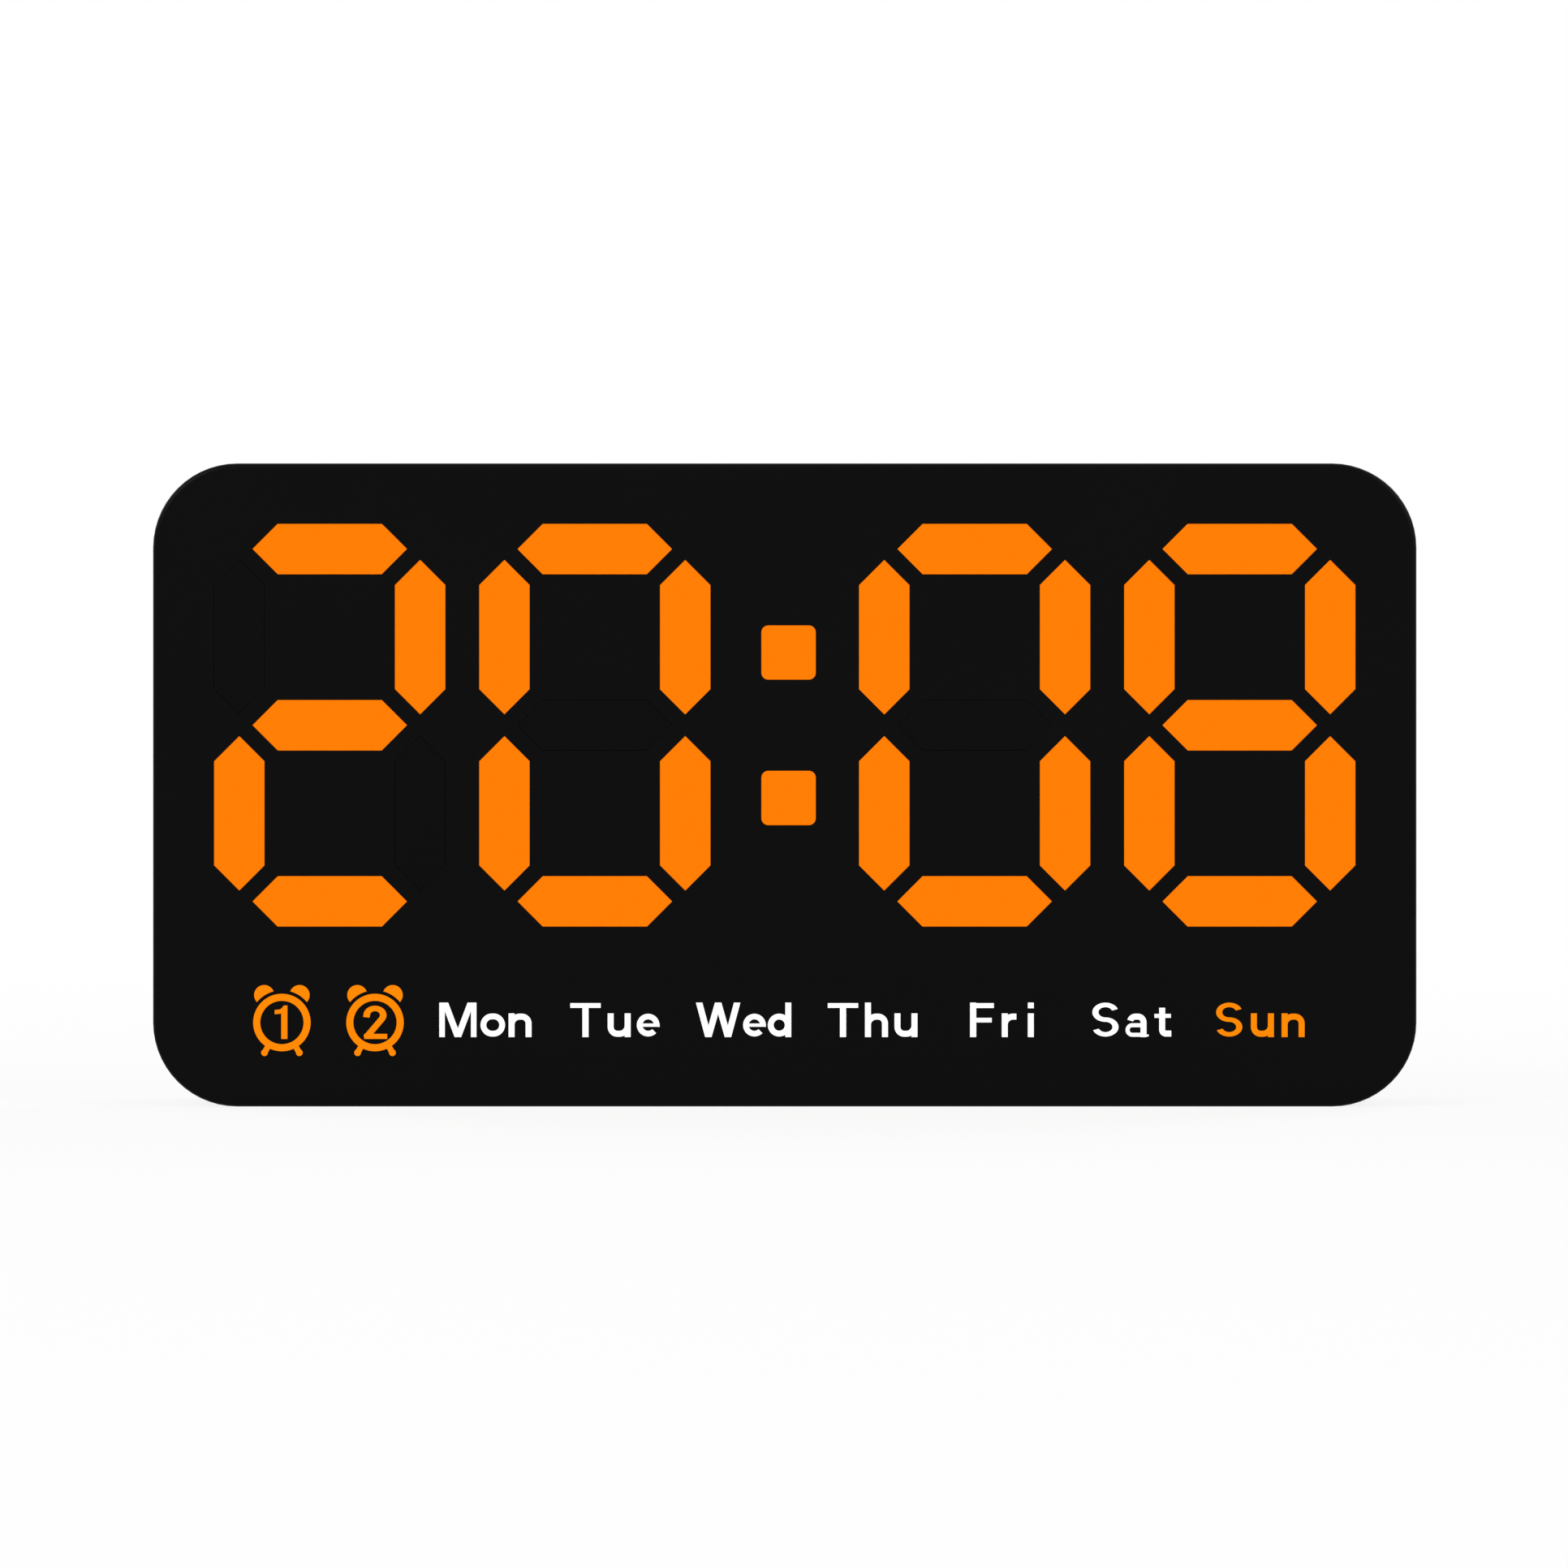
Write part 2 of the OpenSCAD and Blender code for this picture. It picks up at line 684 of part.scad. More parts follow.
// Front shell: the side wall, the ledge that carries the panel, and the screw posts
module front_shell() color(plastic_black) upright() difference() {
    union() {
        sweep_outline() difference() {
            union() {
                profile_band(corner_r - wall, corner_r, parting_z, shell_front_z);
                profile_band(corner_r - ledge_w, corner_r, shell_front_z - ledge_t, shell_front_z);
                profile_band(corner_r - wall, corner_r - wall / 2 - lip_gap,
                             parting_z - lip_h + lip_gap, parting_z);
            }
            seam_notch(parting_z);
            seam_notch(shell_front_z);
        }
        at_screws() bar(0, 0, tube_end_z, shell_front_z, post_r);
        post_ribs();
    }
    at_screws() bar(0, 0, tube_end_z - over, head_depth + screw_l + over, screw_r + pilot_gap);
    in_left_wall(-case_w / 2 - over) linear_extrude(wall + 2 * over)
        stadium(usb_w + 2 * usb_opening_gap, usb_h + 2 * usb_opening_gap);
}

// Webs that tie the screw posts to the corners of the wall
module post_ribs() {
    reach = corner_r - wall / 2 - screw_u;
    for (x = [-1, 1]) for (y = [-1, 1])
        translate([x * screw_x, y * screw_y, parting_z]) rotate(atan2(y, x))
            translate([0, -rib_w / 2, 0]) cube([reach, rib_w, shell_front_z - parting_z]);
}

// Rear cover: the back of the case with its battery bay, stand well, button recess and keyholes
module rear_cover() color(plastic_black) upright() difference() {
    union() {
        sweep_outline() cover_profile();
        outline_core(0, wall);
        at_screws() bar(0, 0, back_block_z, tube_end_z, tube_r);
        for (post = [high_post, low_post]) for (side = [-1, 1])
            bar(side * post[0], post[1], back_block_z, board_back, press_post_r);
        bay_walls();
        stand_well_walls();
        button_panel();
        keyhole_pocket_walls();
    }
    at_screws() {
        bar(0, 0, -over, head_depth, screw_head_r + head_clear);
        bar(0, 0, 0, tube_end_z + over, screw_r + shank_clear);
    }
    bay_hollow();
    stand_well_hollow();
    button_holes();
    keyhole_hollows();
    sound_holes();
}

module cover_profile() {
    centre = [corner_r - back_edge_r, back_edge_r];
    profile_band(0, centre[0], 0, wall);
    intersection() {
        translate(centre) difference() {
            circle(back_edge_r);
            circle(back_edge_r - wall);
        }
        profile_band(centre[0], corner_r, 0, back_edge_r);
    }
    profile_band(corner_r - wall, corner_r - wall / 2, back_edge_r, parting_z - lip_h);
    difference() {
        profile_band(corner_r - wall / 2, corner_r, back_edge_r, parting_z);
        seam_notch(parting_z);
    }
}

module bay_walls() {
    half = [bay_l / 2 + bay_wall, bay_w / 2 + bay_wall];
    frame = [door_w / 2 + door_gap + frame_wall, door_h / 2 + door_gap + frame_wall];
    translate(bay_at) {
        box([-half[0], -half[1], back_block_z], [half[0], half[1], bay_floor_z + bay_wall]);
        box([-frame[0], -frame[1] - tab_reach - tab_clear, back_block_z],
            [frame[0], frame[1] + frame_top_wall, frame_z]);
    }
}

module bay_hollow() {
    translate(bay_at) {
        box([-bay_l / 2, -bay_w / 2, -over], [bay_l / 2, bay_w / 2, bay_floor_z]);
        slab(-over, door_seat_z)
            rounded_rect(door_w + 2 * door_gap, door_h + 2 * door_gap, door_r + door_gap);
        at_tabs()
            box([-tab_w / 2 - tab_clear, -door_h / 2 - tab_reach - tab_clear, door_seat_z],
                [tab_w / 2 + tab_clear, -bay_w / 2 + small, door_seat_z + tab_t + tab_swing]);
        finger_scoop();
    }
    at_contact_tails()
        box([-tail_slit, -tail_w / 2 - tail_slit, bay_floor_z - over],
            [contact_t + tail_slit, tail_w / 2 + tail_slit, board_back]);
}

// The two tabs at the door's lower edge
module at_tabs() for (side = [-1, 1]) translate([side * tab_x, 0, 0]) children();

// A shallow hollow over the door's latch, for a fingertip
module finger_scoop() translate([0, door_h / 2 + scoop_rise, scoop_d - scoop_r])
    rotate([0, 90, 0]) cylinder(r = scoop_r, h = scoop_w, center = true);

module stand_well_walls() {
    half = well_half_w + well_wall;
    box([-half, well_low_y - well_wall, back_block_z],
        [half, well_top_y + well_wall, leg_floor_z + well_wall]);
    box([-half, hinge_y - barrel_r - leg_gap - well_wall, back_block_z],
        [half, well_top_y + well_wall, barrel_floor_z + well_wall]);
    along_hinge(pin_half_l) cylinder(r = ear_r, h = 2 * pin_half_l);
}

module stand_well_hollow() {
    box([-well_half_w, well_low_y, -over], [well_half_w, well_top_y, leg_floor_z]);
    box([-well_half_w, hinge_y - barrel_r - leg_gap, -over], [well_half_w, well_top_y, barrel_floor_z]);
    along_hinge(pin_half_l + over) cylinder(r = pin_r + pin_seat_gap, h = 2 * (pin_half_l + over));
}

// Lays an upright drawing along the hinge's axis, starting a distance left of the middle
module along_hinge(start) translate([-start, hinge_y, hinge_z]) rotate([0, 90, 0]) children();

module button_panel() {
    half_h = button_r + recess_margin + recess_wall;
    side = button_flange_r + recess_margin;
    box([min(button_x) - side, button_y - half_h, back_block_z],
        [max(button_x) + side, button_y + half_h, button_inner_z]);
}

module button_holes() {
    half = [(max(button_x) - min(button_x)) / 2 + button_r + recess_margin, button_r + recess_margin];
    slab(-over, button_recess) translate([(max(button_x) + min(button_x)) / 2, button_y])
        rounded_rect(2 * half[0], 2 * half[1], recess_r);
    for (x = button_x) bar(x, button_y, 0, button_inner_z + over, button_r + button_gap);
}

module keyhole_pocket_walls() for (side = [-1, 1]) translate([side * keyhole_pitch / 2, 0, 0])
    box([-keyhole_pocket_w / 2 - pocket_wall, keyhole_pocket_y[0] - pocket_wall, back_block_z],
        [keyhole_pocket_w / 2 + pocket_wall, keyhole_pocket_y[1] + pocket_wall,
         wall + keyhole_depth + pocket_wall]);

module keyhole_hollows() for (side = [-1, 1]) translate([side * keyhole_pitch / 2, 0, 0]) {
    bar(0, keyhole_y, -over, wall + small, keyhole_r);
    bar(0, keyhole_end_y, -over, wall + small, keyhole_slot / 2);
    box([-keyhole_slot / 2, keyhole_y, -over], [keyhole_slot / 2, keyhole_end_y, wall + small]);
    box([-keyhole_pocket_w / 2, keyhole_pocket_y[0], wall],
        [keyhole_pocket_w / 2, keyhole_pocket_y[1], wall + keyhole_depth]);
}

module sound_holes() translate(buzzer_at) {
    bar(0, 0, -over, wall + over, sound_hole_r);
    for (turn = [0:60:300]) rotate(turn) bar(sound_ring_r, 0, -over, wall + over, sound_hole_r);
}

// Case screws: pan heads with a cross recess, seated at the bottom of their holes
module case_screws() color(steel) upright() at_screws() difference() {
    union() {
        bar(0, 0, head_depth - screw_head_h, head_depth, screw_head_r);
        bar(0, 0, head_depth, head_depth + screw_l, screw_r);
    }
    for (turn = [0, 90]) rotate(turn)
        translate([0, 0, head_depth - screw_head_h]) cube([cross_l, cross_w, 2 * cross_d], center = true);
}

// Battery door: a flush lid that tilts on two tabs at its lower edge, with a sprung tongue on top
module battery_door() color(plastic_black) upright() translate(bay_at) {
    difference() {
        slab(door_face_z, door_back_z) rounded_rect(door_w, door_h, door_r);
        for (side = [-1, 1]) translate([side * (tongue_w + tongue_slit) / 2, door_h / 2 - tongue_l, 0])
            box([-tongue_slit / 2, 0, -over], [tongue_slit / 2, tongue_l + over, door_seat_z + over]);
        for (row = [0:grip_rows - 1])
            translate([0, door_h / 2 - grip_in - row * grip_pitch, door_face_z - grip_rise])
                rotate([0, 90, 0]) cylinder(r = grip_r, h = tongue_w - 2 * grip_end, center = true);
    }
    at_tabs() {
        high_y = tab_root - bay_w / 2;
        box([-tab_w / 2, -door_h / 2, door_back_z - small], [tab_w / 2, high_y, door_seat_z + small]);
        box([-tab_w / 2, -door_h / 2 - tab_reach, door_seat_z], [tab_w / 2, high_y, door_seat_z + tab_t]);
    }
}

// Places each cell in its row, turned end for end in the middle, drawn from its base at the spring
module at_cells() for (row = [-1:1]) translate([bay_at[0], bay_at[1] + row * cell_pitch, cell_z])
    rotate(row == 0 ? 180 : 0) translate([contact_t + spring_l - bay_l / 2, 0, 0])
        rotate([0, 90, 0]) children();

module battery_cells() color(cell_wrap) upright() at_cells() rotate_extrude() {
    low_z = cell_shoulder;
    high_z = cell_l - nub_h - cell_shoulder;
    profile_band(0, cell_d / 2 - cell_shoulder, 0, cell_l - nub_h);
    profile_band(0, cell_d / 2, low_z, high_z);
    for (z = [low_z, high_z]) translate([cell_d / 2 - cell_shoulder, z]) circle(cell_shoulder);
    profile_band(0, nub_r, 0, cell_l);
}

// Contact spring: a cone of wire that leaves the plate and meets the cell square on
function eased(s, e) =
    (s < e ? s * s / (2 * e) : s > 1 - e ? 1 - e - (1 - s) * (1 - s) / (2 * e) : s - e / 2) / (1 - e);
function spring_point(i) = let (
    straight = 2 * spring_wire_r,
    s = i / spring_rings,
    z = s * spring_l,
    wound = eased(min(max((z - straight) / (spring_l - 2 * straight), 0), 1), spring_ease),
    r = spring_base_r + (spring_tip_r - spring_base_r) * wound,
    turn = 360 * spring_turns * wound) [r * cos(turn), r * sin(turn), z];
spring_path = [for (i = [0:spring_rings]) spring_point(i)];
function unit(v) = v / norm(v);
function spring_tangent(i) =
    i == 0 || i == spring_rings ? [0, 0, 1] : unit(spring_path[i + 1] - spring_path[i - 1]);
function spring_ring(i) = let (
    t = spring_tangent(i),
    out = unit([spring_path[i][0], spring_path[i][1], 0]),
    side = unit(cross(t, out)),
    lift = cross(side, t)) [for (k = [0:spring_sides - 1])
        let (turn = 360 * k / spring_sides)
            spring_path[i] + spring_wire_r * (cos(turn) * lift + sin(turn) * side)];

spring_self_gap = min([for (i = [0:spring_rings]) for (j = [i + spring_near_rings:1:spring_rings])
    norm(spring_path[i] - spring_path[j])]) - 2 * spring_wire_r;
echo(spring_self_gap = spring_self_gap);

module contact_spring() {
    n = spring_sides;
    points = [for (i = [0:spring_rings]) each spring_ring(i)];
    walls = [for (i = [0:spring_rings - 1]) for (k = [0:n - 1]) let (
        a = i * n + k, b = i * n + (k + 1) % n) each [[a, a + n, b], [b, a + n, b + n]]];
    base = [for (k = [1:n - 2]) [0, k, k + 1]];
    tip = [for (k = [1:n - 2]) [spring_rings * n, spring_rings * n + k + 1, spring_rings * n + k]];
    polyhedron(points, concat(walls, base, tip));
}

module battery_springs() color(nickel) upright()
    at_cells() translate([0, 0, -spring_l]) contact_spring();

// Contact plates: two long ones that join neighbouring cells, and two end ones with a tail to the board
module at_contact_tails() {
    translate([bay_at[0] - bay_l / 2, bay_at[1] - cell_pitch, 0]) children();
    translate([bay_at[0] + bay_l / 2 - contact_t, bay_at[1] + cell_pitch, 0]) children();
}

module battery_contacts() color(nickel) upright() {
    low_z = cell_z - plate_h / 2;
    high_z = cell_z + plate_h / 2;
    at_contact_tails() {
        box([0, -plate_w / 2, low_z], [contact_t, plate_w / 2, high_z]);
        box([0, -tail_w / 2, low_z], [contact_t, tail_w / 2, board_back]);
    }
    for (side = [-1, 1])
        translate([bay_at[0] + side * (bay_l - contact_t) / 2, bay_at[1] - side * cell_pitch / 2, 0])
            box([-contact_t / 2, -(cell_pitch + plate_w) / 2, low_z],
                [contact_t / 2, (cell_pitch + plate_w) / 2, high_z]);
}

// Stand leg: a flap that folds into its well, with a hinge barrel and a heel that stops it open
module stand_leg() color(plastic_black) upright() difference() {
    union() {
        slab(leg_face_z, leg_back_z) translate([0, leg_tip_y]) leg_outline();
        along_hinge(leg_w / 2) cylinder(r = barrel_r, h = leg_w);
        box([-leg_w / 2, hinge_y, hinge_z - stop_z], [leg_w / 2, hinge_y + stop_l, hinge_z + stop_z]);
    }
    along_hinge(leg_w / 2 + over) cylinder(r = pin_r + pin_gap, h = leg_w + 2 * over);
    for (side = [0, 1]) mirror([side, 0, 0])
        box([leg_rib / 2, leg_tip_y + leg_hollow_in, leg_back_z - leg_hollow_d],
            [leg_w / 2 - leg_rim, hinge_y - leg_hollow_in, leg_back_z + over]);
    translate([0, leg_tip_y + leg_grip_in, leg_face_z - leg_grip_rise])
        rotate([0, 90, 0]) cylinder(r = leg_grip_r, h = leg_w / 2, center = true);
}

// The leg's flat outline, from its free end up to the hinge
module leg_outline() {
    high = hinge_y - leg_tip_y;
    translate([-leg_w / 2, leg_corner_r]) square([leg_w, high - leg_corner_r]);
    translate([leg_corner_r - leg_w / 2, 0]) square([leg_w - 2 * leg_corner_r, leg_corner_r]);
    for (side = [-1, 1]) translate([side * (leg_w / 2 - leg_corner_r), leg_corner_r]) circle(leg_corner_r);
}

module stand_pin() color(steel) upright()
    along_hinge(pin_half_l) cylinder(r = pin_r, h = 2 * pin_half_l);

front_panel();
for (digit = [0:3]) for (segment = [0:6])
    segment_guide(digit, segment);
colon_dots();
sign_lens();
reflector();
segment_leds();
circuit_board();
chips();
capacitors();
buzzer();
usb_socket();
switch_bodies();
for (index = [0:3])
    switch_plunger(index);
for (index = [0:3])
    button(index);
panel_tape();
front_shell();
rear_cover();
case_screws();
battery_door();
battery_cells();
battery_springs();
battery_contacts();
stand_leg();
stand_pin();
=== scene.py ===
# Digital LED clock for a wall or a table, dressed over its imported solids.
# Metres, +Z up. The face looks along -Y, and the origin is the centre of the back, on the wall.
import json
import math

import bmesh
import bpy
from mathutils import Matrix, Vector
from mathutils.geometry import delaunay_2d_cdt


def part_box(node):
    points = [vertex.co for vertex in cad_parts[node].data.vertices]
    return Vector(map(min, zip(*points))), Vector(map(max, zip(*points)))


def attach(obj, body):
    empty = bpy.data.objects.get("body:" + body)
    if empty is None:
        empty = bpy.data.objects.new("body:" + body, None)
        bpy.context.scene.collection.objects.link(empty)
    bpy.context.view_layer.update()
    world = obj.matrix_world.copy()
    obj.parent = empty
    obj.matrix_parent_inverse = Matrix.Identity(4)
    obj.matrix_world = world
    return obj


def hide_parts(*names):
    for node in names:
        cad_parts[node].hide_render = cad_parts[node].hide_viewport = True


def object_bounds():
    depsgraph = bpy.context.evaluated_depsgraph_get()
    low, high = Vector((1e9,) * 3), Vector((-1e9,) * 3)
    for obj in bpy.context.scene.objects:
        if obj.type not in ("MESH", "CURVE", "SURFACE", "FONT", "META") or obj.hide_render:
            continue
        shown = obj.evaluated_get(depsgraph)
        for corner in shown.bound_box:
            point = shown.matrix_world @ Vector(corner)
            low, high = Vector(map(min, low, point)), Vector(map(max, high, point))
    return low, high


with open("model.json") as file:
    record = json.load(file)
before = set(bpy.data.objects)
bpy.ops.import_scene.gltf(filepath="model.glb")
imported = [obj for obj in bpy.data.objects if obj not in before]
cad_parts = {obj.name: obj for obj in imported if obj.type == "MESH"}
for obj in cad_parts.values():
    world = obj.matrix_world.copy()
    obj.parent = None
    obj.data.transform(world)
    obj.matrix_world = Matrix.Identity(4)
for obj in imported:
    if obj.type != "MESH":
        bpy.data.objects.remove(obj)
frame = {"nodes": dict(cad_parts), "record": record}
cad_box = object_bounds()

# Front shell
# The side walls of the case, moulded in black ABS in a tool with a fine spark-eroded grain.
# The panel is taped to its ledge, and four screws pull the rear cover up to its posts.
MM = 0.001
ABS_BLACKS = ((0.0030, 0.0030, 0.0032, 1), (0.0270, 0.0270, 0.0278, 1))
ABS_RUBBED = (0.045, 0.045, 0.046, 1)


class Socket:
    """A shader socket on which plain maths adds Math nodes."""

    def __init__(self, tree, out=None):
        self.tree = tree
        self.out = out

    def node(self, kind, settings=None, sockets=None, outlet=0):
        """Adds a node, sets its settings and then its sockets. Returns one outlet, if it has any."""
        made = self.tree.nodes.new(kind)
        for name, value in (settings or {}).items():
            setattr(made, name, value)
        for name, value in (sockets or {}).items():
            if isinstance(value, Socket):
                self.tree.links.new(value.out, made.inputs[name])
            else:
                made.inputs[name].default_value = value
        return Socket(self.tree, made.outputs[outlet]) if made.outputs else None

    def maths(self, operation, first, second):
        return self.node("ShaderNodeMath", {"operation": operation}, {0: first, 1: second})

    def __add__(self, other):
        return self.maths("ADD", self, other)

    def __radd__(self, other):
        return self.maths("ADD", other, self)

    def __sub__(self, other):
        return self.maths("SUBTRACT", self, other)

    def __rsub__(self, other):
        return self.maths("SUBTRACT", other, self)

    def __mul__(self, other):
        return self.maths("MULTIPLY", self, other)

    def __rmul__(self, other):
        return self.maths("MULTIPLY", other, self)

    def __mod__(self, other):
        return self.maths("FLOORED_MODULO", self, other)

    def __gt__(self, other):
        return self.maths("GREATER_THAN", self, other)

    def __lt__(self, other):
        return self.maths("LESS_THAN", self, other)

    def __abs__(self):
        return self.maths("ABSOLUTE", self, 0.0)

    def most(self, other):
        """The larger of two values."""
        return self.maths("MAXIMUM", self, other)

    def axis(self, number):
        """One of a place's three coordinates."""
        return self.node("ShaderNodeSeparateXYZ", None, {"Vector": self}, number)

    def blend(self, low, high):
        """A colour from low to high, by this value."""
        return self.node("ShaderNodeMix", {"data_type": "RGBA"}, {0: self, 6: low, 7: high}, 2)


def new_finish(name):
    """Starts a material. Returns it, and the Object coordinates that its patterns read."""
    finish = bpy.data.materials.new(name)
    finish.use_nodes = True
    finish.node_tree.nodes.clear()
    return finish, Socket(finish.node_tree).node("ShaderNodeTexCoord", outlet="Object")


def set_surface(place, sockets):
    """Closes a material with its Principled surface."""
    surface = place.node("ShaderNodeBsdfPrincipled", None, sockets)
    place.node("ShaderNodeOutputMaterial", None, {"Surface": surface})


def noise(place, lump, detail):
    """Even noise with lumps about as wide as the given size."""
    return place.node("ShaderNodeTexNoise", None, {"Vector": place, "Scale": 1 / lump, "Detail": detail})


def broken(place, edge):
    """Normals that round off sharp edges by a small radius."""
    return place.node("ShaderNodeBevel", {"samples": 6}, {"Radius": edge})


def skin(place, height, depth, strength, edge):
    """A bumped surface with its sharp edges broken."""
    return place.node("ShaderNodeBump", None, {
        "Strength": strength, "Distance": depth, "Height": height, "Normal": broken(place, edge)})


def rubbed(place, edge, contrast):
    """One along sharp edges, which handling has polished a little, and zero elsewhere."""
    straight = place.node("ShaderNodeNewGeometry", outlet="Normal")
    likeness = place.node("ShaderNodeVectorMath", {"operation": "DOT_PRODUCT"}, {
        0: broken(place, edge), 1: straight}, "Value")
    return place.node("ShaderNodeClamp", None, {"Value": contrast * (1 - likeness)})


def dress(finish, *names):
    """Gives CAD nodes a finish."""
    for name in names:
        for slot in frame["nodes"][name].material_slots:
            slot.material = finish


moulded_abs, place = new_finish("moulded_abs")
cloud = noise(place, lump=18 * MM, detail=3)
grain = noise(place, lump=0.55 * MM, detail=3)
# The base colour is darker in the grain's hollows as painted shade, and also varies at random with the
# cloud.
hollow_shade_and_tone = 2.6 * grain + 0.6 * cloud - 1.1
polish = 0.6 * rubbed(place, edge=0.35 * MM, contrast=5) * cloud
set_surface(place, {
    "Base Color": polish.blend(hollow_shade_and_tone.blend(*ABS_BLACKS), ABS_RUBBED),
    "Roughness": 0.34 + 0.26 * grain - 0.12 * polish,
    "Specular IOR Level": 0.2,
    "Normal": skin(place, grain, depth=0.12 * MM, strength=0.8, edge=0.3 * MM)})
dress(moulded_abs, "front_shell")

# Panel tape
# A die-cut ring of black acrylic foam tape between the shell's ledge and the panel.
# Only its thin edge can be seen, in the joint line round the front.
FOAM_BLACKS = ((0.006, 0.006, 0.006, 1), (0.014, 0.014, 0.014, 1))
foam_tape, place = new_finish("foam_tape")
pores = noise(place, lump=0.12 * MM, detail=2)
set_surface(place, {
    "Base Color": pores.blend(*FOAM_BLACKS),
    "Roughness": 0.85,
    "Normal": skin(place, pores, depth=0.03 * MM, strength=0.5, edge=0.05 * MM)})
dress(foam_tape, "panel_tape")

# Front panel
# One sheet of black acrylic that is the whole front, with a satin face that kills reflections.
# Its edge is rounded and polished, and a window is cut in it for each light.
PANEL_BLACKS = ((0.0014, 0.0014, 0.0014, 1), (0.0020, 0.0020, 0.0020, 1))
panel_film, place = new_finish("panel_film")
cloud = noise(place, lump=25 * MM, detail=2)
matting = noise(place, lump=0.10 * MM, detail=2)
set_surface(place, {
    "Base Color": cloud.blend(*PANEL_BLACKS),
    "Roughness": 0.26 + 0.10 * matting,
    "Specular IOR Level": 0.05,
    "Normal": skin(place, matting, depth=0.004 * MM, strength=0.25, edge=0.08 * MM)})
dress(panel_film, "front_panel")

# Light guides
# Bars of smoked acrylic with pointed ends, flush with the face and held behind it by a flange.
# The lit ones glow evenly through a fine diffuser, and the others are as black as the panel.
GUIDE_TINTS = ((0.020, 0.004, 0.000, 1), (0.030, 0.006, 0.000, 1))
GUIDE_ORANGES = ((0.985, 0.198, 0.0, 1), (1.0, 0.210, 0.0, 1))
SMOKE_BLACKS = ((0.0013, 0.0013, 0.0013, 1), (0.0019, 0.0019, 0.0019, 1))
lit_guide, place = new_finish("lit_guide")
diffuser = noise(place, lump=1.6 * MM, detail=3)
set_surface(place, {
    "Base Color": diffuser.blend(*GUIDE_TINTS),
    "Roughness": 0.30 + 0.08 * diffuser,
    "Specular IOR Level": 0.03,
    "Emission Color": diffuser.blend(*GUIDE_ORANGES),
    "Emission Strength": 1.0,
    "Normal": skin(place, diffuser, depth=0.004 * MM, strength=0.2, edge=0.05 * MM)})

smoked_guide, place = new_finish("smoked_guide")
smoke = noise(place, lump=6 * MM, detail=2)
set_surface(place, {
    "Base Color": smoke.blend(*SMOKE_BLACKS),
    "Roughness": 0.22 + 0.06 * smoke,
    "Specular IOR Level": 0.05,
    "Normal": skin(place, smoke, depth=0.004 * MM, strength=0.2, edge=0.05 * MM)})

for part in frame["record"]["subparts"]:
    if part["material_slot"] == "segment_lit":
        dress(lit_guide, part["node"])
    if part["material_slot"] == "segment_dark":
        dress(smoked_guide, part["node"])

# Sign film
# A thin black film bonded over the sign lens and its windows, as satin as the panel.
# The signs are left clear in it, so its own outline hardly shows.
# The film and the signs are drawn flat, in millimetres.
FILM_PROUD = 0.008
FILM_SUNK = 0.01
FILM_CORNER = 1.5
CORNER_STEPS = 8
ALL_TRIANGLES = 0
NO_MERGING = 0.0
WELD = 0.0001
STRAIGHT = math.radians(0.2)


def only(kind, geometry):
    """The vertices, edges or faces among what an operator returned."""
    return [part for part in geometry if isinstance(part, kind)]


def make_object(bm, name):
    """Turns a finished bmesh into an object at the origin."""
    mesh = bpy.data.meshes.new(name)
    bm.to_mesh(mesh)
    bm.free()
    piece = bpy.data.objects.new(name, mesh)
    bpy.context.scene.collection.objects.link(piece)
    return piece


def one_outline(bm):
    """Joins the overlapping strokes of a flat drawing, so that each shape has one outline."""
    bm.normal_update()
    bmesh.ops.reverse_faces(bm, faces=[face for face in bm.faces if face.normal.z < 0])
    bm.verts.index_update()
    points = [vert.co.to_2d() for vert in bm.verts]
    strokes = [[vert.index for vert in face.verts] for face in bm.faces]
    # The strokes are cut where they cross, and each part that lies in one of them is kept.
    corners, _, parts, _, _, sources = delaunay_2d_cdt(points, [], strokes, ALL_TRIANGLES, NO_MERGING)
    bm.clear()
    verts = [bm.verts.new(corner.to_3d()) for corner in corners]
    for part, source in zip(parts, sources):
        if source:
            bm.faces.new([verts[index] for index in part])
    bmesh.ops.remove_doubles(bm, verts=bm.verts, dist=WELD)
    bmesh.ops.delete(bm, geom=[vert for vert in bm.verts if not vert.link_faces], context="VERTS")
    bmesh.ops.dissolve_limit(bm, angle_limit=STRAIGHT, verts=bm.verts, edges=bm.edges)


def inlay(bm, name, at, proud, finish, slot):
    """Turns a flat drawing into a thin layer on the face of the clock."""
    one_outline(bm)
    raised = bmesh.ops.extrude_face_region(bm, geom=bm.faces[:])["geom"]
    bmesh.ops.translate(bm, verts=only(bmesh.types.BMVert, raised), vec=(0, 0, proud + FILM_SUNK))
    bmesh.ops.recalc_face_normals(bm, faces=bm.faces)
    face_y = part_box("front_panel")[0].y / MM
    on_face = Matrix.Translation((at[0], face_y + FILM_SUNK, at[1]))
    upright = Matrix.Rotation(math.radians(90), 4, "X")
    bmesh.ops.transform(bm, matrix=Matrix.Scale(MM, 4) @ on_face @ upright, verts=bm.verts)
    piece = make_object(bm, name)
    piece.data.materials.append(finish)
    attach(piece, "clock_case")


lens_low, lens_high = [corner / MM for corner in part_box("sign_lens")]
film_size = lens_high - lens_low
film_mid = (lens_low + lens_high) / 2
bm = bmesh.new()
bmesh.ops.create_grid(bm, x_segments=1, y_segments=1, size=0.5)
bmesh.ops.scale(bm, vec=(film_size.x, film_size.z, 1), verts=bm.verts)
bmesh.ops.bevel(
    bm, geom=bm.verts[:], offset=FILM_CORNER, affect="VERTICES", segments=CORNER_STEPS, profile=0.5,
    material=-1)
inlay(bm, "sign_film", (film_mid.x, film_mid.z), FILM_PROUD, panel_film, "panel_black")

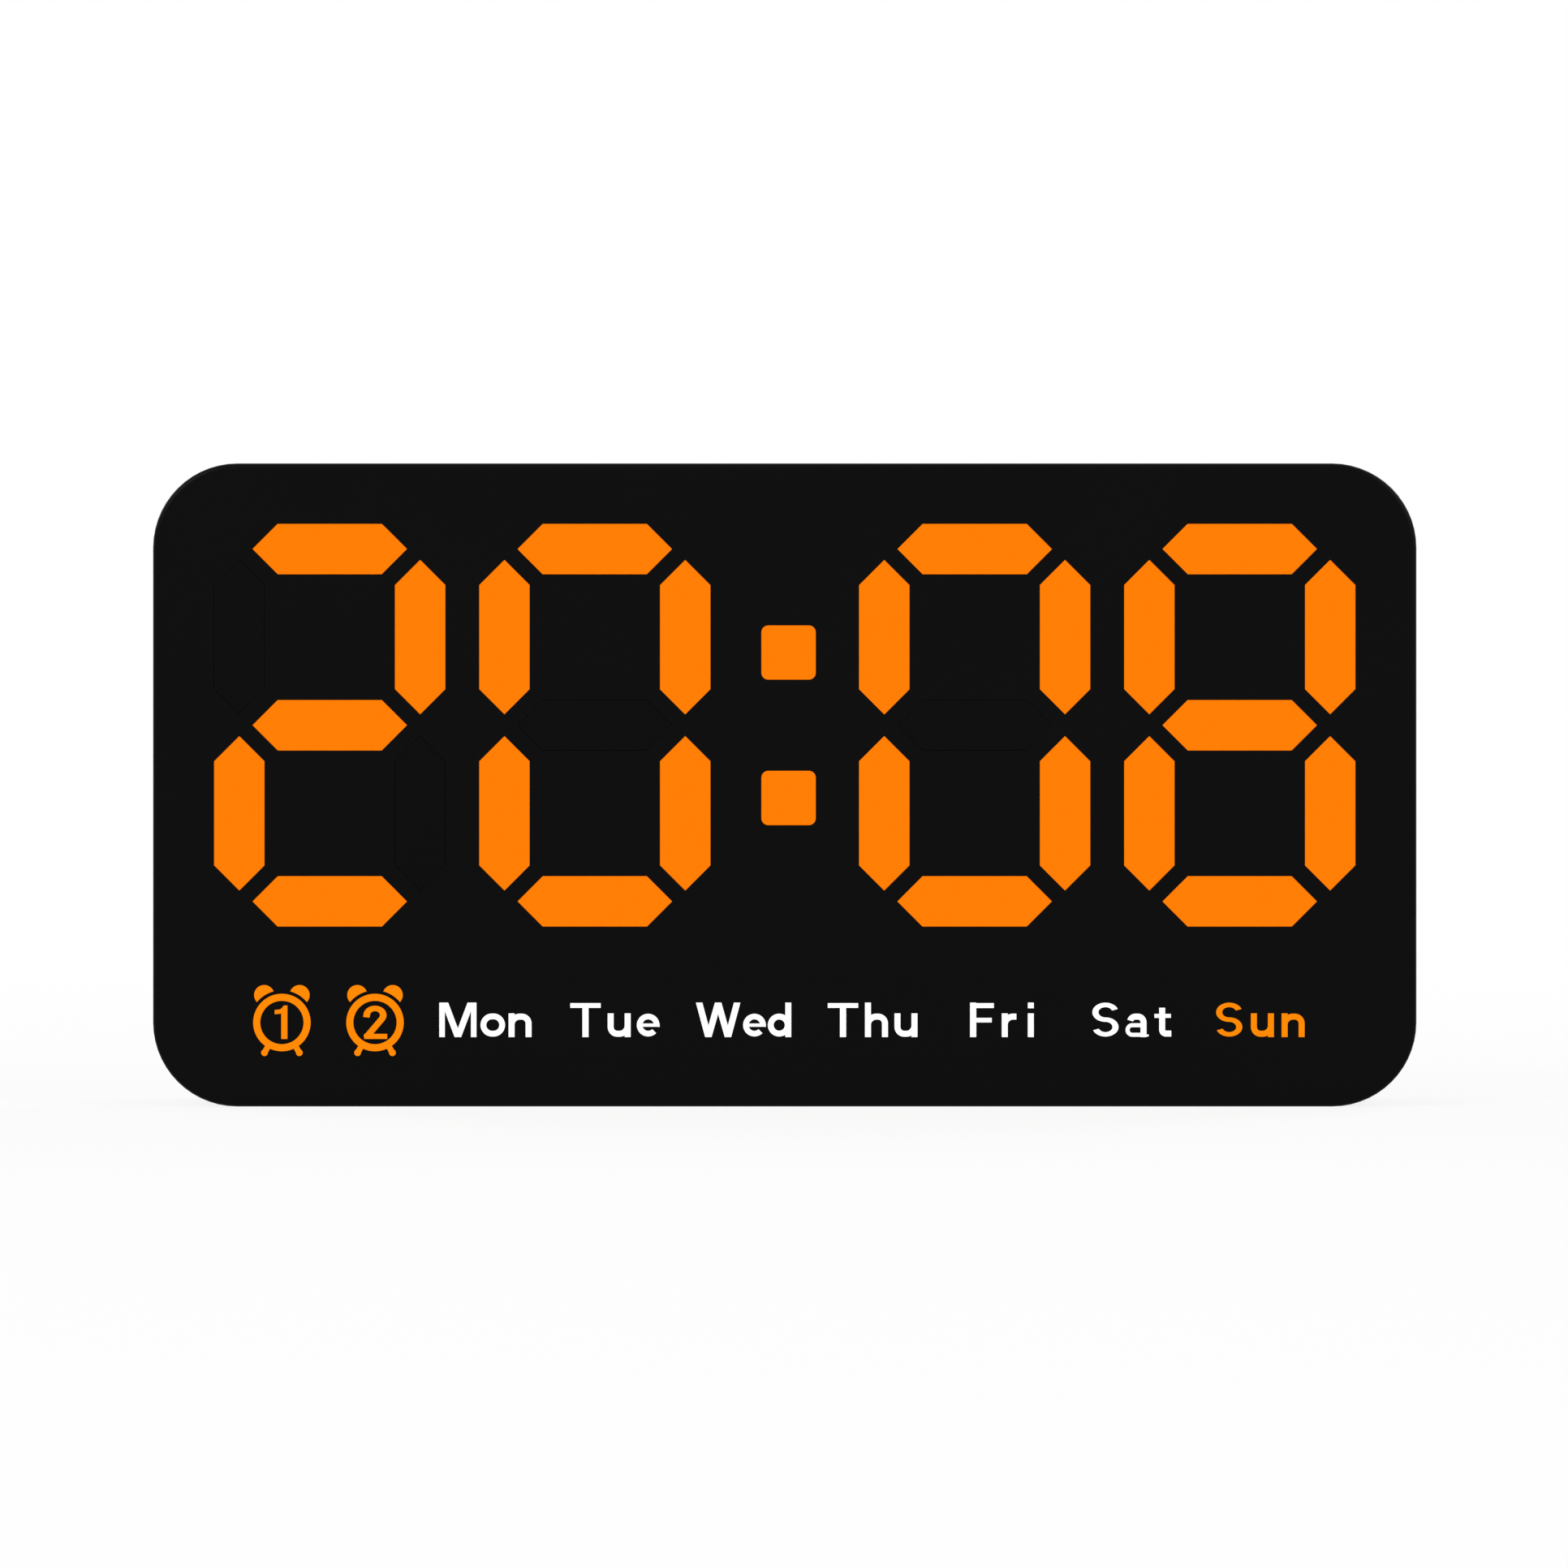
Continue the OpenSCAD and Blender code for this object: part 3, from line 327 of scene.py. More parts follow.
# Alarm signs
# Two alarm-clock signs with the numbers 1 and 2, left clear in the film and lit orange from behind.
# The glow makes each stroke look a little bolder than it is cut, so the nib is inset by that.
SIGN_TINTS = ((0.020, 0.005, 0.000, 1), (0.030, 0.008, 0.000, 1))
SIGN_ORANGES = ((0.975, 0.240, 0.0, 1), (1.0, 0.256, 0.0, 1))
SIGN_PROUD = 0.016
GLOW_SPREAD = 0.07
ARC_STEP = 6
ROUND_STEPS = 32
CUT_STEPS = 10
RING_OUTER = 3.82
RING_INNER = 2.76
BELL_AT = Vector((2.31, 3.58, 0))
BELL_RADIUS = 1.31
BELL_CUT = 4.21
FOOT_TURN = math.radians(30)
FOOT_REACH = 4.54
FOOT_RADIUS = 0.44
ALARM_SIGNS = {"1": (-65.62, -31.0), "2": (-53.47, -31.0)}

# A number or letter is its sideways stretch and its strokes: two ends of a nib, and the nib's moves.
NUMBERS = {
    "1": (1.0, [
        ((-0.16, -2.15), (0.79, -2.15), (0, 3.85)),
        ((0.22, -2.15), (0.79, -2.15), (0, 4.37)),
        ((-0.94, 1.01), (-0.94, 1.71), (0.42, 0.04), (-0.52, 2.42, 55), (0.16, 0.23))]),
    "2": (1.22, [
        ((-0.511, 0.628), (-1.345, 0.748), (0.056, 0.396), (0, 0.96, -207), (-1.68, -2.41)),
        ((-1.16, -2.21), (-1.16, -1.41), (2.46, 0))])}


def added(bm, before):
    """The vertices that a mesh has gained."""
    return [vert for vert in bm.verts if vert not in before]


def within(bm, verts):
    """The edges whose two ends are among some vertices."""
    ends = set(verts)
    return [edge for edge in bm.edges if ends.issuperset(edge.verts)]


def ink(bm, nib_start, nib_end, *moves):
    """Draws a flat stroke with a straight nib, slid by (x, y) or turned about (x, y) by degrees."""
    before = set(bm.verts)
    inset = (Vector(nib_end) - Vector(nib_start)).normalized() * GLOW_SPREAD
    corners = (Vector(nib_start) + inset, Vector(nib_end) - inset)
    nib = [bm.verts.new(corner.to_3d()) for corner in corners]
    tip = [bm.edges.new(nib)]
    for move in moves:
        if len(move) == 2:
            made = bmesh.ops.extrude_edge_only(bm, edges=tip)["geom"]
            nib = only(bmesh.types.BMVert, made)
            bmesh.ops.translate(bm, verts=nib, vec=(*move, 0))
            tip = within(bm, nib)
        else:
            x, y, turn = move
            made = bmesh.ops.spin(
                bm, geom=nib + tip, cent=(x, y, 0), axis=(0, 0, 1), angle=math.radians(turn),
                steps=math.ceil(abs(turn) / ARC_STEP), use_merge=abs(turn) == 360)["geom_last"]
            nib = only(bmesh.types.BMVert, made)
            tip = only(bmesh.types.BMEdge, made)
    bmesh.ops.remove_doubles(bm, verts=added(bm, before), dist=WELD)


def draw(bm, stretch, strokes, left):
    """Draws one letter or number, stretched sideways and then set with its left edge at a place."""
    before = set(bm.verts)
    for stroke in strokes:
        ink(bm, *stroke)
    bmesh.ops.scale(bm, vec=(stretch, 1, 1), verts=added(bm, before))
    bmesh.ops.translate(bm, vec=(left, 0, 0), verts=added(bm, before))


def bell(bm, side):
    """A bell's cap: a disc that an arc round the ring's centre cuts off."""
    reach = BELL_AT.length
    along = (BELL_CUT ** 2 - BELL_RADIUS ** 2 + reach ** 2) / (2 * reach)
    across = math.sqrt(BELL_CUT ** 2 - along ** 2)
    out = BELL_AT.normalized()
    corner = out * along + out.cross(Vector((0, 0, 1))) * across
    cap_turn = 2 * math.acos((along - reach) / BELL_RADIUS)
    cut_turn = 2 * math.asin(across / BELL_CUT)
    before = set(bm.verts)
    for centre, turn, steps in ((BELL_AT, cap_turn, ROUND_STEPS), (Vector(), cut_turn, CUT_STEPS)):
        bmesh.ops.spin(
            bm, geom=[bm.verts.new(corner)], cent=centre, axis=(0, 0, 1), angle=turn, steps=steps)
    bmesh.ops.scale(bm, vec=(side, 1, 1), verts=added(bm, before))
    bmesh.ops.remove_doubles(bm, verts=added(bm, before), dist=WELD)
    bmesh.ops.contextual_create(bm, geom=within(bm, added(bm, before)))


def foot(bm, side):
    """A round-ended foot that points away from the ring's centre."""
    out = Vector((side * math.sin(FOOT_TURN), -math.cos(FOOT_TURN)))
    across = Vector((-out.y, out.x)) * FOOT_RADIUS
    root = out * (RING_OUTER + RING_INNER) / 2
    ink(bm, root - across, root + across, out * FOOT_REACH - root)
    toe = bmesh.ops.create_circle(bm, cap_ends=True, segments=ROUND_STEPS, radius=FOOT_RADIUS)["verts"]
    bmesh.ops.translate(bm, verts=toe, vec=(*(out * FOOT_REACH), 0))


lit_sign, place = new_finish("lit_sign")
diffuser = noise(place, lump=0.8 * MM, detail=2)
set_surface(place, {
    "Base Color": diffuser.blend(*SIGN_TINTS),
    "Roughness": 0.30 + 0.08 * diffuser,
    "Specular IOR Level": 0.03,
    "Emission Color": diffuser.blend(*SIGN_ORANGES),
    "Emission Strength": 1.0})

for number, sign_at in ALARM_SIGNS.items():
    bm = bmesh.new()
    ink(bm, (RING_INNER, 0), (RING_OUTER, 0), (0, 0, 360))
    for side in (-1, 1):
        bell(bm, side)
        foot(bm, side)
    draw(bm, *NUMBERS[number], 0)
    inlay(bm, "alarm_sign_" + number, sign_at, SIGN_PROUD, lit_sign, "segment_lit")

# Weekday words
# Short weekday names in a plain bold sans, cut in the same film. Today's name is lit orange.
# Each letter is a few strokes of even weight. A word gives each letter's left edge from its middle.
WORD_TINTS = ((0.62, 0.62, 0.61, 1), (0.68, 0.68, 0.67, 1))
WORD_WHITES = ((0.94, 0.94, 0.94, 1), (1.0, 1.0, 1.0, 1))
BASELINE = -32.90
FIRST_WORD_AT = -39.05
WORD_PITCH = 16.85
STEM = 0.92
ARCH = ((2.22, 0), (3.14, 0), (0, 1.78), (1.79, 1.78, 90), (-0.26, 0), (1.53, 1.6, 90))
LETTERS = {
    "M": (1.0, [
        ((0, 0), (0.86, 0), (0, 4.5)),
        ((4.13, 0), (4.99, 0), (0, 4.5)),
        ((0.3, 4.5), (1.30, 4.5), (1.7, -4.5)),
        ((3.69, 4.5), (4.69, 4.5), (-1.7, -4.5))]),
    "W": (1.0, [
        ((0, 4.5), (0.98, 4.5), (1.2, -4.5)),
        ((1.2, 0), (2.18, 0), (1.28, 4.5)),
        ((2.48, 4.5), (3.46, 4.5), (1.28, -4.5)),
        ((3.76, 0), (4.74, 0), (1.2, 4.5))]),
    "T": (1.0, [
        ((0, 3.74), (0, 4.5), (3.97, 0)),
        ((1.51, 0), (2.46, 0), (0, 4.1))]),
    "F": (1.0, [
        ((0, 0), (0.95, 0), (0, 4.5)),
        ((0.5, 3.72), (0.5, 4.5), (2.68, 0)),
        ((0.5, 1.84), (0.5, 2.58), (2.4, 0))]),
    "S": (1.364, [
        ((1.884, 3.445), (2.560, 3.691), (1.32, 3.24, 250), (1.32, 1.32, -250))]),
    "a": (1.0, [
        ((1.95, 0), (2.87, 0), (0, 1.93), (1.67, 1.93, 90), (-0.3, 0), (1.37, 1.93, 72)),
        ((2.05, 1.22), (2.05, 1.88), (-1.1, 0), (0.95, 0.925, 180), (1.1, 0)),
        ((2.6, 0), (2.6, 0.42), (0.47, 0))]),
    "d": (1.0, [
        ((2.28, 0), (3.20, 0), (0, 4.5)),
        ((2.22, 1.565), (3.12, 1.565), (1.56, 1.565, 360))]),
    "e": (1.0, [
        ((2.195, 1.447), (3.051, 1.296), (1.525, 1.565, 325)),
        ((0.6, 1.28), (0.6, 1.84), (2.42, 0))]),
    "h": (1.0, [
        ((0, 0), (STEM, 0), (0, 4.5)),
        ARCH]),
    "i": (1.0, [
        ((0, 0), (STEM, 0), (0, 3.1)),
        ((0, 3.76), (STEM, 3.76), (0, 0.74))]),
    "n": (1.0, [
        ((0, 0), (STEM, 0), (0, 3.1)),
        ARCH]),
    "o": (1.0, [
        ((1.765, 0.89), (1.765, 0), (1.765, 1.575, 180), (-0.19, 0), (1.575, 1.575, 180), (0.19, 0))]),
    "r": (1.0, [
        ((0, 0), (STEM, 0), (0, 3.1)),
        ((0, 1.6), (STEM, 1.6), (1.53, 1.6, -90), (0.45, 0))]),
    "t": (1.0, [
        ((0.55, 3.83), (1.47, 3.83), (0, -2.88), (1.5, 0.95, 90), (0.7, 0)),
        ((0, 2.44), (0, 3.1), (2.15, 0))]),
    "u": (1.0, [
        ((2.22, 0), (3.14, 0), (0, 3.1)),
        ((STEM, 3.1), (0, 3.1), (0, -1.78), (1.35, 1.32, 90), (0.26, 0), (1.61, 1.5, 90))])}
WORDS = {
    "Mon": (-6.10, -0.72, 2.94),
    "Tue": (-5.79, -0.98, 2.85),
    "Wed": (-6.31, -0.13, 3.07),
    "Thu": (-5.88, -1.10, 2.75),
    "Fri": (-4.24, -0.10, 3.30),
    "Sat": (-5.15, -0.79, 3.04),
    "Sun": (-5.85, -1.29, 2.72)}
TODAY = "Sun"

white_sign, place = new_finish("white_sign")
diffuser = noise(place, lump=0.8 * MM, detail=2)
set_surface(place, {
    "Base Color": diffuser.blend(*WORD_TINTS),
    "Roughness": 0.45,
    "Specular IOR Level": 0.1,
    "Emission Color": diffuser.blend(*WORD_WHITES),
    "Emission Strength": 0.5})

for index, (word, places) in enumerate(WORDS.items()):
    bm = bmesh.new()
    for letter, left in zip(word, places):
        draw(bm, *LETTERS[letter], left)
    word_at = (FIRST_WORD_AT + index * WORD_PITCH, BASELINE)
    look = (lit_sign, "segment_lit") if word == TODAY else (white_sign, "led_white")
    inlay(bm, "weekday_" + word.lower(), word_at, SIGN_PROUD, *look)

# Reflector
# A grid of light chambers moulded in white ABS, heat-staked to the display board.
# It keeps the light of each window out of its neighbours.
CHAMBER_WHITES = ((0.76, 0.76, 0.73, 1), (0.83, 0.83, 0.80, 1))
chamber_white, place = new_finish("chamber_white")
cloud = noise(place, lump=4 * MM, detail=3)
set_surface(place, {
    "Base Color": cloud.blend(*CHAMBER_WHITES),
    "Roughness": 0.48 + 0.12 * cloud,
    "Normal": skin(place, cloud, depth=0.02 * MM, strength=0.2, edge=0.15 * MM)})
dress(chamber_white, "reflector")

# Display board
# A fibreglass board under green solder mask, with its copper tracks raised under the mask.
# The reflector is staked to its front, and posts of the rear cover press on its back.
MASK_GREENS = ((0.009, 0.075, 0.032, 1), (0.020, 0.150, 0.065, 1))
TRACK_LENGTH = 9 * MM
TRACK_PITCH = 1.3 * MM
TRACK_GAP = 0.25 * MM
solder_mask, place = new_finish("solder_mask")
flat = place.node("ShaderNodeMapping", None, {"Vector": place, "Rotation": (math.radians(90), 0, 0)})
tracks = place.node("ShaderNodeTexBrick", {"offset": 0.37}, {
    "Vector": flat, "Scale": 1.0, "Mortar Size": TRACK_GAP, "Mortar Smooth": 0.2,
    "Brick Width": TRACK_LENGTH, "Row Height": TRACK_PITCH}, 1)
weave = noise(place, lump=0.6 * MM, detail=2)
set_surface(place, {
    "Base Color": (0.75 * tracks + 0.2 * weave).blend(*MASK_GREENS),
    "Roughness": 0.30 + 0.10 * weave,
    "Normal": skin(place, tracks, depth=0.035 * MM, strength=0.6, edge=0.1 * MM)})
dress(solder_mask, "circuit_board")

# LEDs
# White LEDs in pale moulded packages under a yellowish phosphor, soldered to the front of the board.
# Two stand behind each segment, and one behind each dot of the colon and each sign.
LED_PHOSPHORS = ((0.82, 0.80, 0.70, 1), (0.86, 0.74, 0.36, 1))
led_package, place = new_finish("led_package")
phosphor = noise(place, lump=0.5 * MM, detail=2)
set_surface(place, {
    "Base Color": phosphor.blend(*LED_PHOSPHORS),
    "Roughness": 0.35 + 0.15 * phosphor,
    "Normal": skin(place, phosphor, depth=0.01 * MM, strength=0.3, edge=0.1 * MM)})
dress(led_package, "segment_leds")

# Chips, buzzer and switches
# The controller and its drivers, the alarm's sounder and four push switches, on the back of the board.
# Their bodies are dull black mouldings, and each switch has a white plunger.
SWITCH_WHITES = ((0.78, 0.77, 0.72, 1), (0.84, 0.83, 0.79, 1))
EPOXY_BLACKS = ((0.011, 0.011, 0.012, 1), (0.020, 0.020, 0.021, 1))
BUTTONS = ("mode", "set", "up", "down")
switch_white, place = new_finish("switch_white")
cloud = noise(place, lump=0.4 * MM, detail=2)
set_surface(place, {
    "Base Color": cloud.blend(*SWITCH_WHITES),
    "Roughness": 0.38 + 0.10 * cloud,
    "Normal": skin(place, cloud, depth=0.01 * MM, strength=0.2, edge=0.15 * MM)})
dress(switch_white, *["switch_plunger_" + name for name in BUTTONS])

chip_epoxy, place = new_finish("chip_epoxy")
filler = noise(place, lump=0.09 * MM, detail=3)
set_surface(place, {
    "Base Color": filler.blend(*EPOXY_BLACKS),
    "Roughness": 0.58 + 0.14 * filler,
    "Normal": skin(place, filler, depth=0.012 * MM, strength=0.5, edge=0.12 * MM)})
dress(chip_epoxy, "chips", "buzzer", "switch_bodies")

# Capacitors
# Two bare aluminium cans that smooth the supply, soldered to the back of the board.
# They are drawn from sheet, which leaves fine lines along them.
CAN_GREYS = ((0.52, 0.52, 0.53, 1), (0.66, 0.66, 0.66, 1))


def drawn_lines(place, stretch, line):
    """Fine lines in a metal, drawn out along the axis with the smallest stretch."""
    stretched = place.node("ShaderNodeMapping", None, {"Vector": place, "Scale": stretch})
    return noise(stretched, line, detail=3)


def metal(name, tones, roughness, line, stretch, edge):
    """A metal with drawn lines."""
    finish, place = new_finish(name)
    lines = drawn_lines(place, stretch, line)
    set_surface(place, {
        "Base Color": lines.blend(*tones),
        "Metallic": 1.0,
        "Roughness": roughness + 0.14 * lines,
        "Normal": skin(place, lines, depth=0.006 * MM, strength=0.3, edge=edge)})
    return finish


can_metal = metal(
    "can_metal", CAN_GREYS, roughness=0.26, line=0.2 * MM, stretch=(1, 0.05, 1), edge=0.3 * MM)
dress(can_metal, "capacitors")

# Power socket
# A shell of plated sheet steel round a black tongue with gold-plated pads on both its faces.
# It is soldered to the back of the board, with its mouth in the left side wall.
SOCKET_STEELS = ((0.47, 0.47, 0.46, 1), (0.61, 0.61, 0.60, 1))
TONGUE_BLACK = (0.012, 0.012, 0.012, 1)
PAD_GOLD = (0.72, 0.52, 0.20, 1)
TONGUE_THICK = 0.8 * MM
TONGUE_WIDE = 6.8 * MM
PAD_PITCH = 0.5 * MM
PAD_GAP = 0.25 * MM
PAD_THICK = 0.1 * MM
socket_low, socket_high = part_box("usb_socket")
socket_mid = (socket_low + socket_high) / 2
socket_shell, place = new_finish("socket_shell")
lines = drawn_lines(place, (0.05, 1, 1), 0.2 * MM)
beside = abs(place.axis(1) - socket_mid.y)
along = place.axis(2) - socket_mid.z
tongue = (beside < TONGUE_THICK / 2) * (abs(along) < TONGUE_WIDE / 2)
pads = tongue * (along % PAD_PITCH > PAD_GAP) * (beside > TONGUE_THICK / 2 - PAD_THICK)
steel = lines.blend(*SOCKET_STEELS)
set_surface(place, {
    "Base Color": pads.blend(tongue.blend(steel, TONGUE_BLACK), PAD_GOLD),
    "Metallic": 1 - tongue + pads,
    "Roughness": 0.26 + 0.14 * lines,
    "Normal": skin(place, lines, depth=0.006 * MM, strength=0.3, edge=0.12 * MM)})
dress(socket_shell, "usb_socket")

# Rear cover
# The back half of the case, moulded in the same black ABS, with the bay, well, recess and keyholes
# in one piece. A lip lines it up with the front shell, and four screws hold it.
dress(moulded_abs, "rear_cover")

# Buttons
# Four caps in a recess of the back, moulded smoother than the cover, with a thumb-sized dish.
# Each is kept in by its flange, and its stem rests on a switch of the board.
BUTTON_BLACKS = ((0.014, 0.014, 0.015, 1), (0.026, 0.026, 0.027, 1))
button_abs, place = new_finish("button_abs")
grain = noise(place, lump=0.3 * MM, detail=2)
set_surface(place, {
    "Base Color": (2 * grain - 0.5).blend(*BUTTON_BLACKS),
    "Roughness": 0.28 + 0.12 * grain,
    "Specular IOR Level": 0.3,
    "Normal": skin(place, grain, depth=0.01 * MM, strength=0.3, edge=0.2 * MM)})
dress(button_abs, *["button_" + name for name in BUTTONS])

# Battery contacts and springs
# Plates of nickel-plated steel that slide into the bay's ends, with a cone of spring wire
# at the flat end of each cell. The springs are wound smooth here, in the room of their solids.
NICKEL_TONES = ((0.55, 0.53, 0.48, 1), (0.68, 0.66, 0.61, 1))
WIRE_RADIUS = 0.25 * MM
WIRE_SIDES = 12
TURN_STEPS = 32
SPRING_TURNS = 3.25
SPRING_BASE_RADIUS = 3.4 * MM
SPRING_TIP_RADIUS = 2.2 * MM
SPRING_LENGTH = 4.6 * MM
CELL_PITCH = 10.9 * MM
nickel_plate = metal(
    "nickel_plate", NICKEL_TONES, roughness=0.16, line=0.25 * MM, stretch=(1, 1, 0.08), edge=0.12 * MM)
dress(nickel_plate, "battery_contacts")

spring_low, spring_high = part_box("battery_springs")
spring_mid = (spring_low + spring_high) / 2
rise = SPRING_LENGTH - 2 * WIRE_RADIUS
steps = round(SPRING_TURNS * TURN_STEPS)
across_wire = Matrix.Rotation(math.radians(90), 4, "X")
wire_start = Matrix.Translation((SPRING_BASE_RADIUS, 0, WIRE_RADIUS)) @ across_wire
bm = bmesh.new()
for row in (-1, 0, 1):
    before = set(bm.verts)
    section = bmesh.ops.create_circle(
        bm, segments=WIRE_SIDES, radius=WIRE_RADIUS, matrix=wire_start)["verts"]
    rim = within(bm, section)
    last = bmesh.ops.spin(
        bm, geom=section + rim, cent=(0, 0, 0), axis=(0, 0, 1), dvec=(0, 0, rise / steps),
        angle=2 * math.pi * SPRING_TURNS, steps=steps)["geom_last"]
    bmesh.ops.contextual_create(bm, geom=rim)
    bmesh.ops.contextual_create(bm, geom=only(bmesh.types.BMEdge, last))
    wire = added(bm, before)
    for vert in wire:
        outward = Vector((vert.co.x, vert.co.y, 0)).normalized()
        vert.co -= outward * (SPRING_BASE_RADIUS - SPRING_TIP_RADIUS) * vert.co.z / SPRING_LENGTH
    # The middle cell lies the other way round, so its spring stands at the bay's other end.
    foot_x, turn = (spring_high.x, -90) if row == 0 else (spring_low.x, 90)
    stand_on = Matrix.Translation((foot_x, spring_mid.y, spring_mid.z + row * CELL_PITCH))
    lie_down = Matrix.Rotation(math.radians(turn), 4, "Y")
    bmesh.ops.transform(bm, matrix=stand_on @ lie_down, verts=wire)
bmesh.ops.recalc_face_normals(bm, faces=bm.faces)
for face in bm.faces:
    face.smooth = True
contact_springs = make_object(bm, "contact_springs")
spring_wire = metal(
    "spring_wire", NICKEL_TONES, roughness=0.16, line=0.3 * MM, stretch=(1, 1, 1), edge=0.02 * MM)
contact_springs.data.materials.append(spring_wire)
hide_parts("battery_springs")
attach(contact_springs, "clock_case")

# Battery cells
# Three slim steel cells in a plain grey shrink film, with bare steel at both ends and one pale band
# at the end with the nub. The middle one lies the other way round.
CELL_GREYS = ((0.085, 0.100, 0.118, 1), (0.105, 0.122, 0.142, 1))
BAND_PALE = (0.55, 0.56, 0.56, 1)
BARE_STEEL = (0.52, 0.52, 0.51, 1)
BARE_NUB = 2.2 * MM
BARE_BASE = 1.0 * MM
BAND_START = 4.0 * MM
BAND_END = 6.0 * MM
cell_low, cell_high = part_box("battery_cells")
cell_mid = (cell_low + cell_high) / 2
cell_film, place = new_finish("cell_film")
outer_row = abs(place.axis(2) - cell_mid.z) > CELL_PITCH / 2
from_left = place.axis(0) - cell_low.x
from_right = cell_high.x - place.axis(0)
from_nub = outer_row * from_right + (1 - outer_row) * from_left
from_base = outer_row * from_left + (1 - outer_row) * from_right - SPRING_LENGTH
wrapped = (from_nub > BARE_NUB) * (from_base > BARE_BASE)
band = (from_nub > BAND_START) * (from_nub < BAND_END)
scuff = noise(place, lump=3 * MM, detail=4)
film = band.blend(scuff.blend(*CELL_GREYS), BAND_PALE)
set_surface(place, {
    "Base Color": wrapped.blend(BARE_STEEL, film),
    "Metallic": 1 - wrapped,
    "Roughness": 0.24 + 0.14 * scuff,
    "Normal": skin(place, scuff, depth=0.01 * MM, strength=0.15, edge=0.1 * MM)})
dress(cell_film, "battery_cells")

# Battery door
# A flat lid of the same black ABS, with two tabs at its lower edge and a sprung tongue on top.
# It lies flush in its seat, and the grooves on the tongue give a fingertip its hold.
dress(moulded_abs, "battery_door")

# Table stand
# A flap of black ABS that folds into its well. It turns on a steel pin, and its heel stops it open.
# The pin is pressed into the cover's two ears.
PIN_STEELS = ((0.27, 0.27, 0.28, 1), (0.38, 0.38, 0.39, 1))
dress(moulded_abs, "stand_leg")
pin_steel = metal(
    "pin_steel", PIN_STEELS, roughness=0.28, line=0.2 * MM, stretch=(0.05, 1, 1), edge=0.1 * MM)
dress(pin_steel, "stand_pin")

# Case screws
# Four zinc-plated steel screws with cross recesses, sunk in holes at the corners of the back.
# They pull the rear cover up to the posts of the front shell. Their recesses are painted dark as shade,
# since little light gets in.
ZINC_TONES = ((0.30, 0.30, 0.31, 1), (0.44, 0.44, 0.45, 1))
RECESS_PAINTED_SHADE = (0.020, 0.020, 0.021, 1)
RECESS_DEPTH = 1.2 * MM
zinc_plate, place = new_finish("zinc_plate")
crystals = noise(place, lump=0.3 * MM, detail=3)
# Painted shade: ambient occlusion darkens the base colour in the screws' recesses.
in_the_open = place.node(
    "ShaderNodeAmbientOcclusion", {"samples": 8, "only_local": True}, {"Distance": RECESS_DEPTH}, "AO")
set_surface(place, {
    "Base Color": (1.8 * in_the_open - 0.8).blend(RECESS_PAINTED_SHADE, crystals.blend(*ZINC_TONES)),
    "Metallic": 1.0,
    "Roughness": 0.26 + 0.14 * crystals,
    "Normal": skin(place, crystals, depth=0.006 * MM, strength=0.3, edge=0.15 * MM)})
dress(zinc_plate, "case_screws")

# Stage
# A plain white floor under the clock and a white world behind it, as in a product photo.
# The floor keeps a share of the clock's soft shadow, and fades to plain white away from it.
FLOOR_WHITES = ((0.86, 0.86, 0.86, 1), (0.90, 0.90, 0.90, 1))
FLOOR_RADIUS = 4.0
FLOOR_SIDES = 96
FLOOR_WHITE = 0.86
SHADOW_REACH = 0.25
SHADOW_END = 0.9
PLAIN_WHITE = (1, 1, 1, 1)


def seen_directly(start):
    """One for rays that show the background itself, and zero for those that carry its light."""
    in_camera = start.node("ShaderNodeLightPath", outlet="Is Camera Ray")
    in_gloss = start.node("ShaderNodeLightPath", outlet="Is Glossy Ray")
    through_glass = start.node("ShaderNodeLightPath", outlet="Is Transmission Ray")
    return in_camera.most(in_gloss.most(through_glass))


floor_white, place = new_finish("floor_white")
paper = noise(place, lump=0.4, detail=2)
matt = place.node("ShaderNodeBsdfPrincipled", None, {
    "Base Color": paper.blend(*FLOOR_WHITES), "Roughness": 1.0, "Specular IOR Level": 0.0})
glow = place.node("ShaderNodeEmission", None, {"Color": PLAIN_WHITE, "Strength": 1.0})
away = place.node("ShaderNodeVectorMath", {"operation": "LENGTH"}, {0: place}, "Value")
white = place.node("ShaderNodeMapRange", {"interpolation_type": "SMOOTHSTEP"}, {
    "Value": away, "From Min": SHADOW_REACH, "From Max": SHADOW_END, "To Min": FLOOR_WHITE, "To Max": 1.0})
mixed = place.node("ShaderNodeMixShader", None, {0: white * seen_directly(place), 1: matt, 2: glow})
place.node("ShaderNodeOutputMaterial", None, {"Surface": mixed})

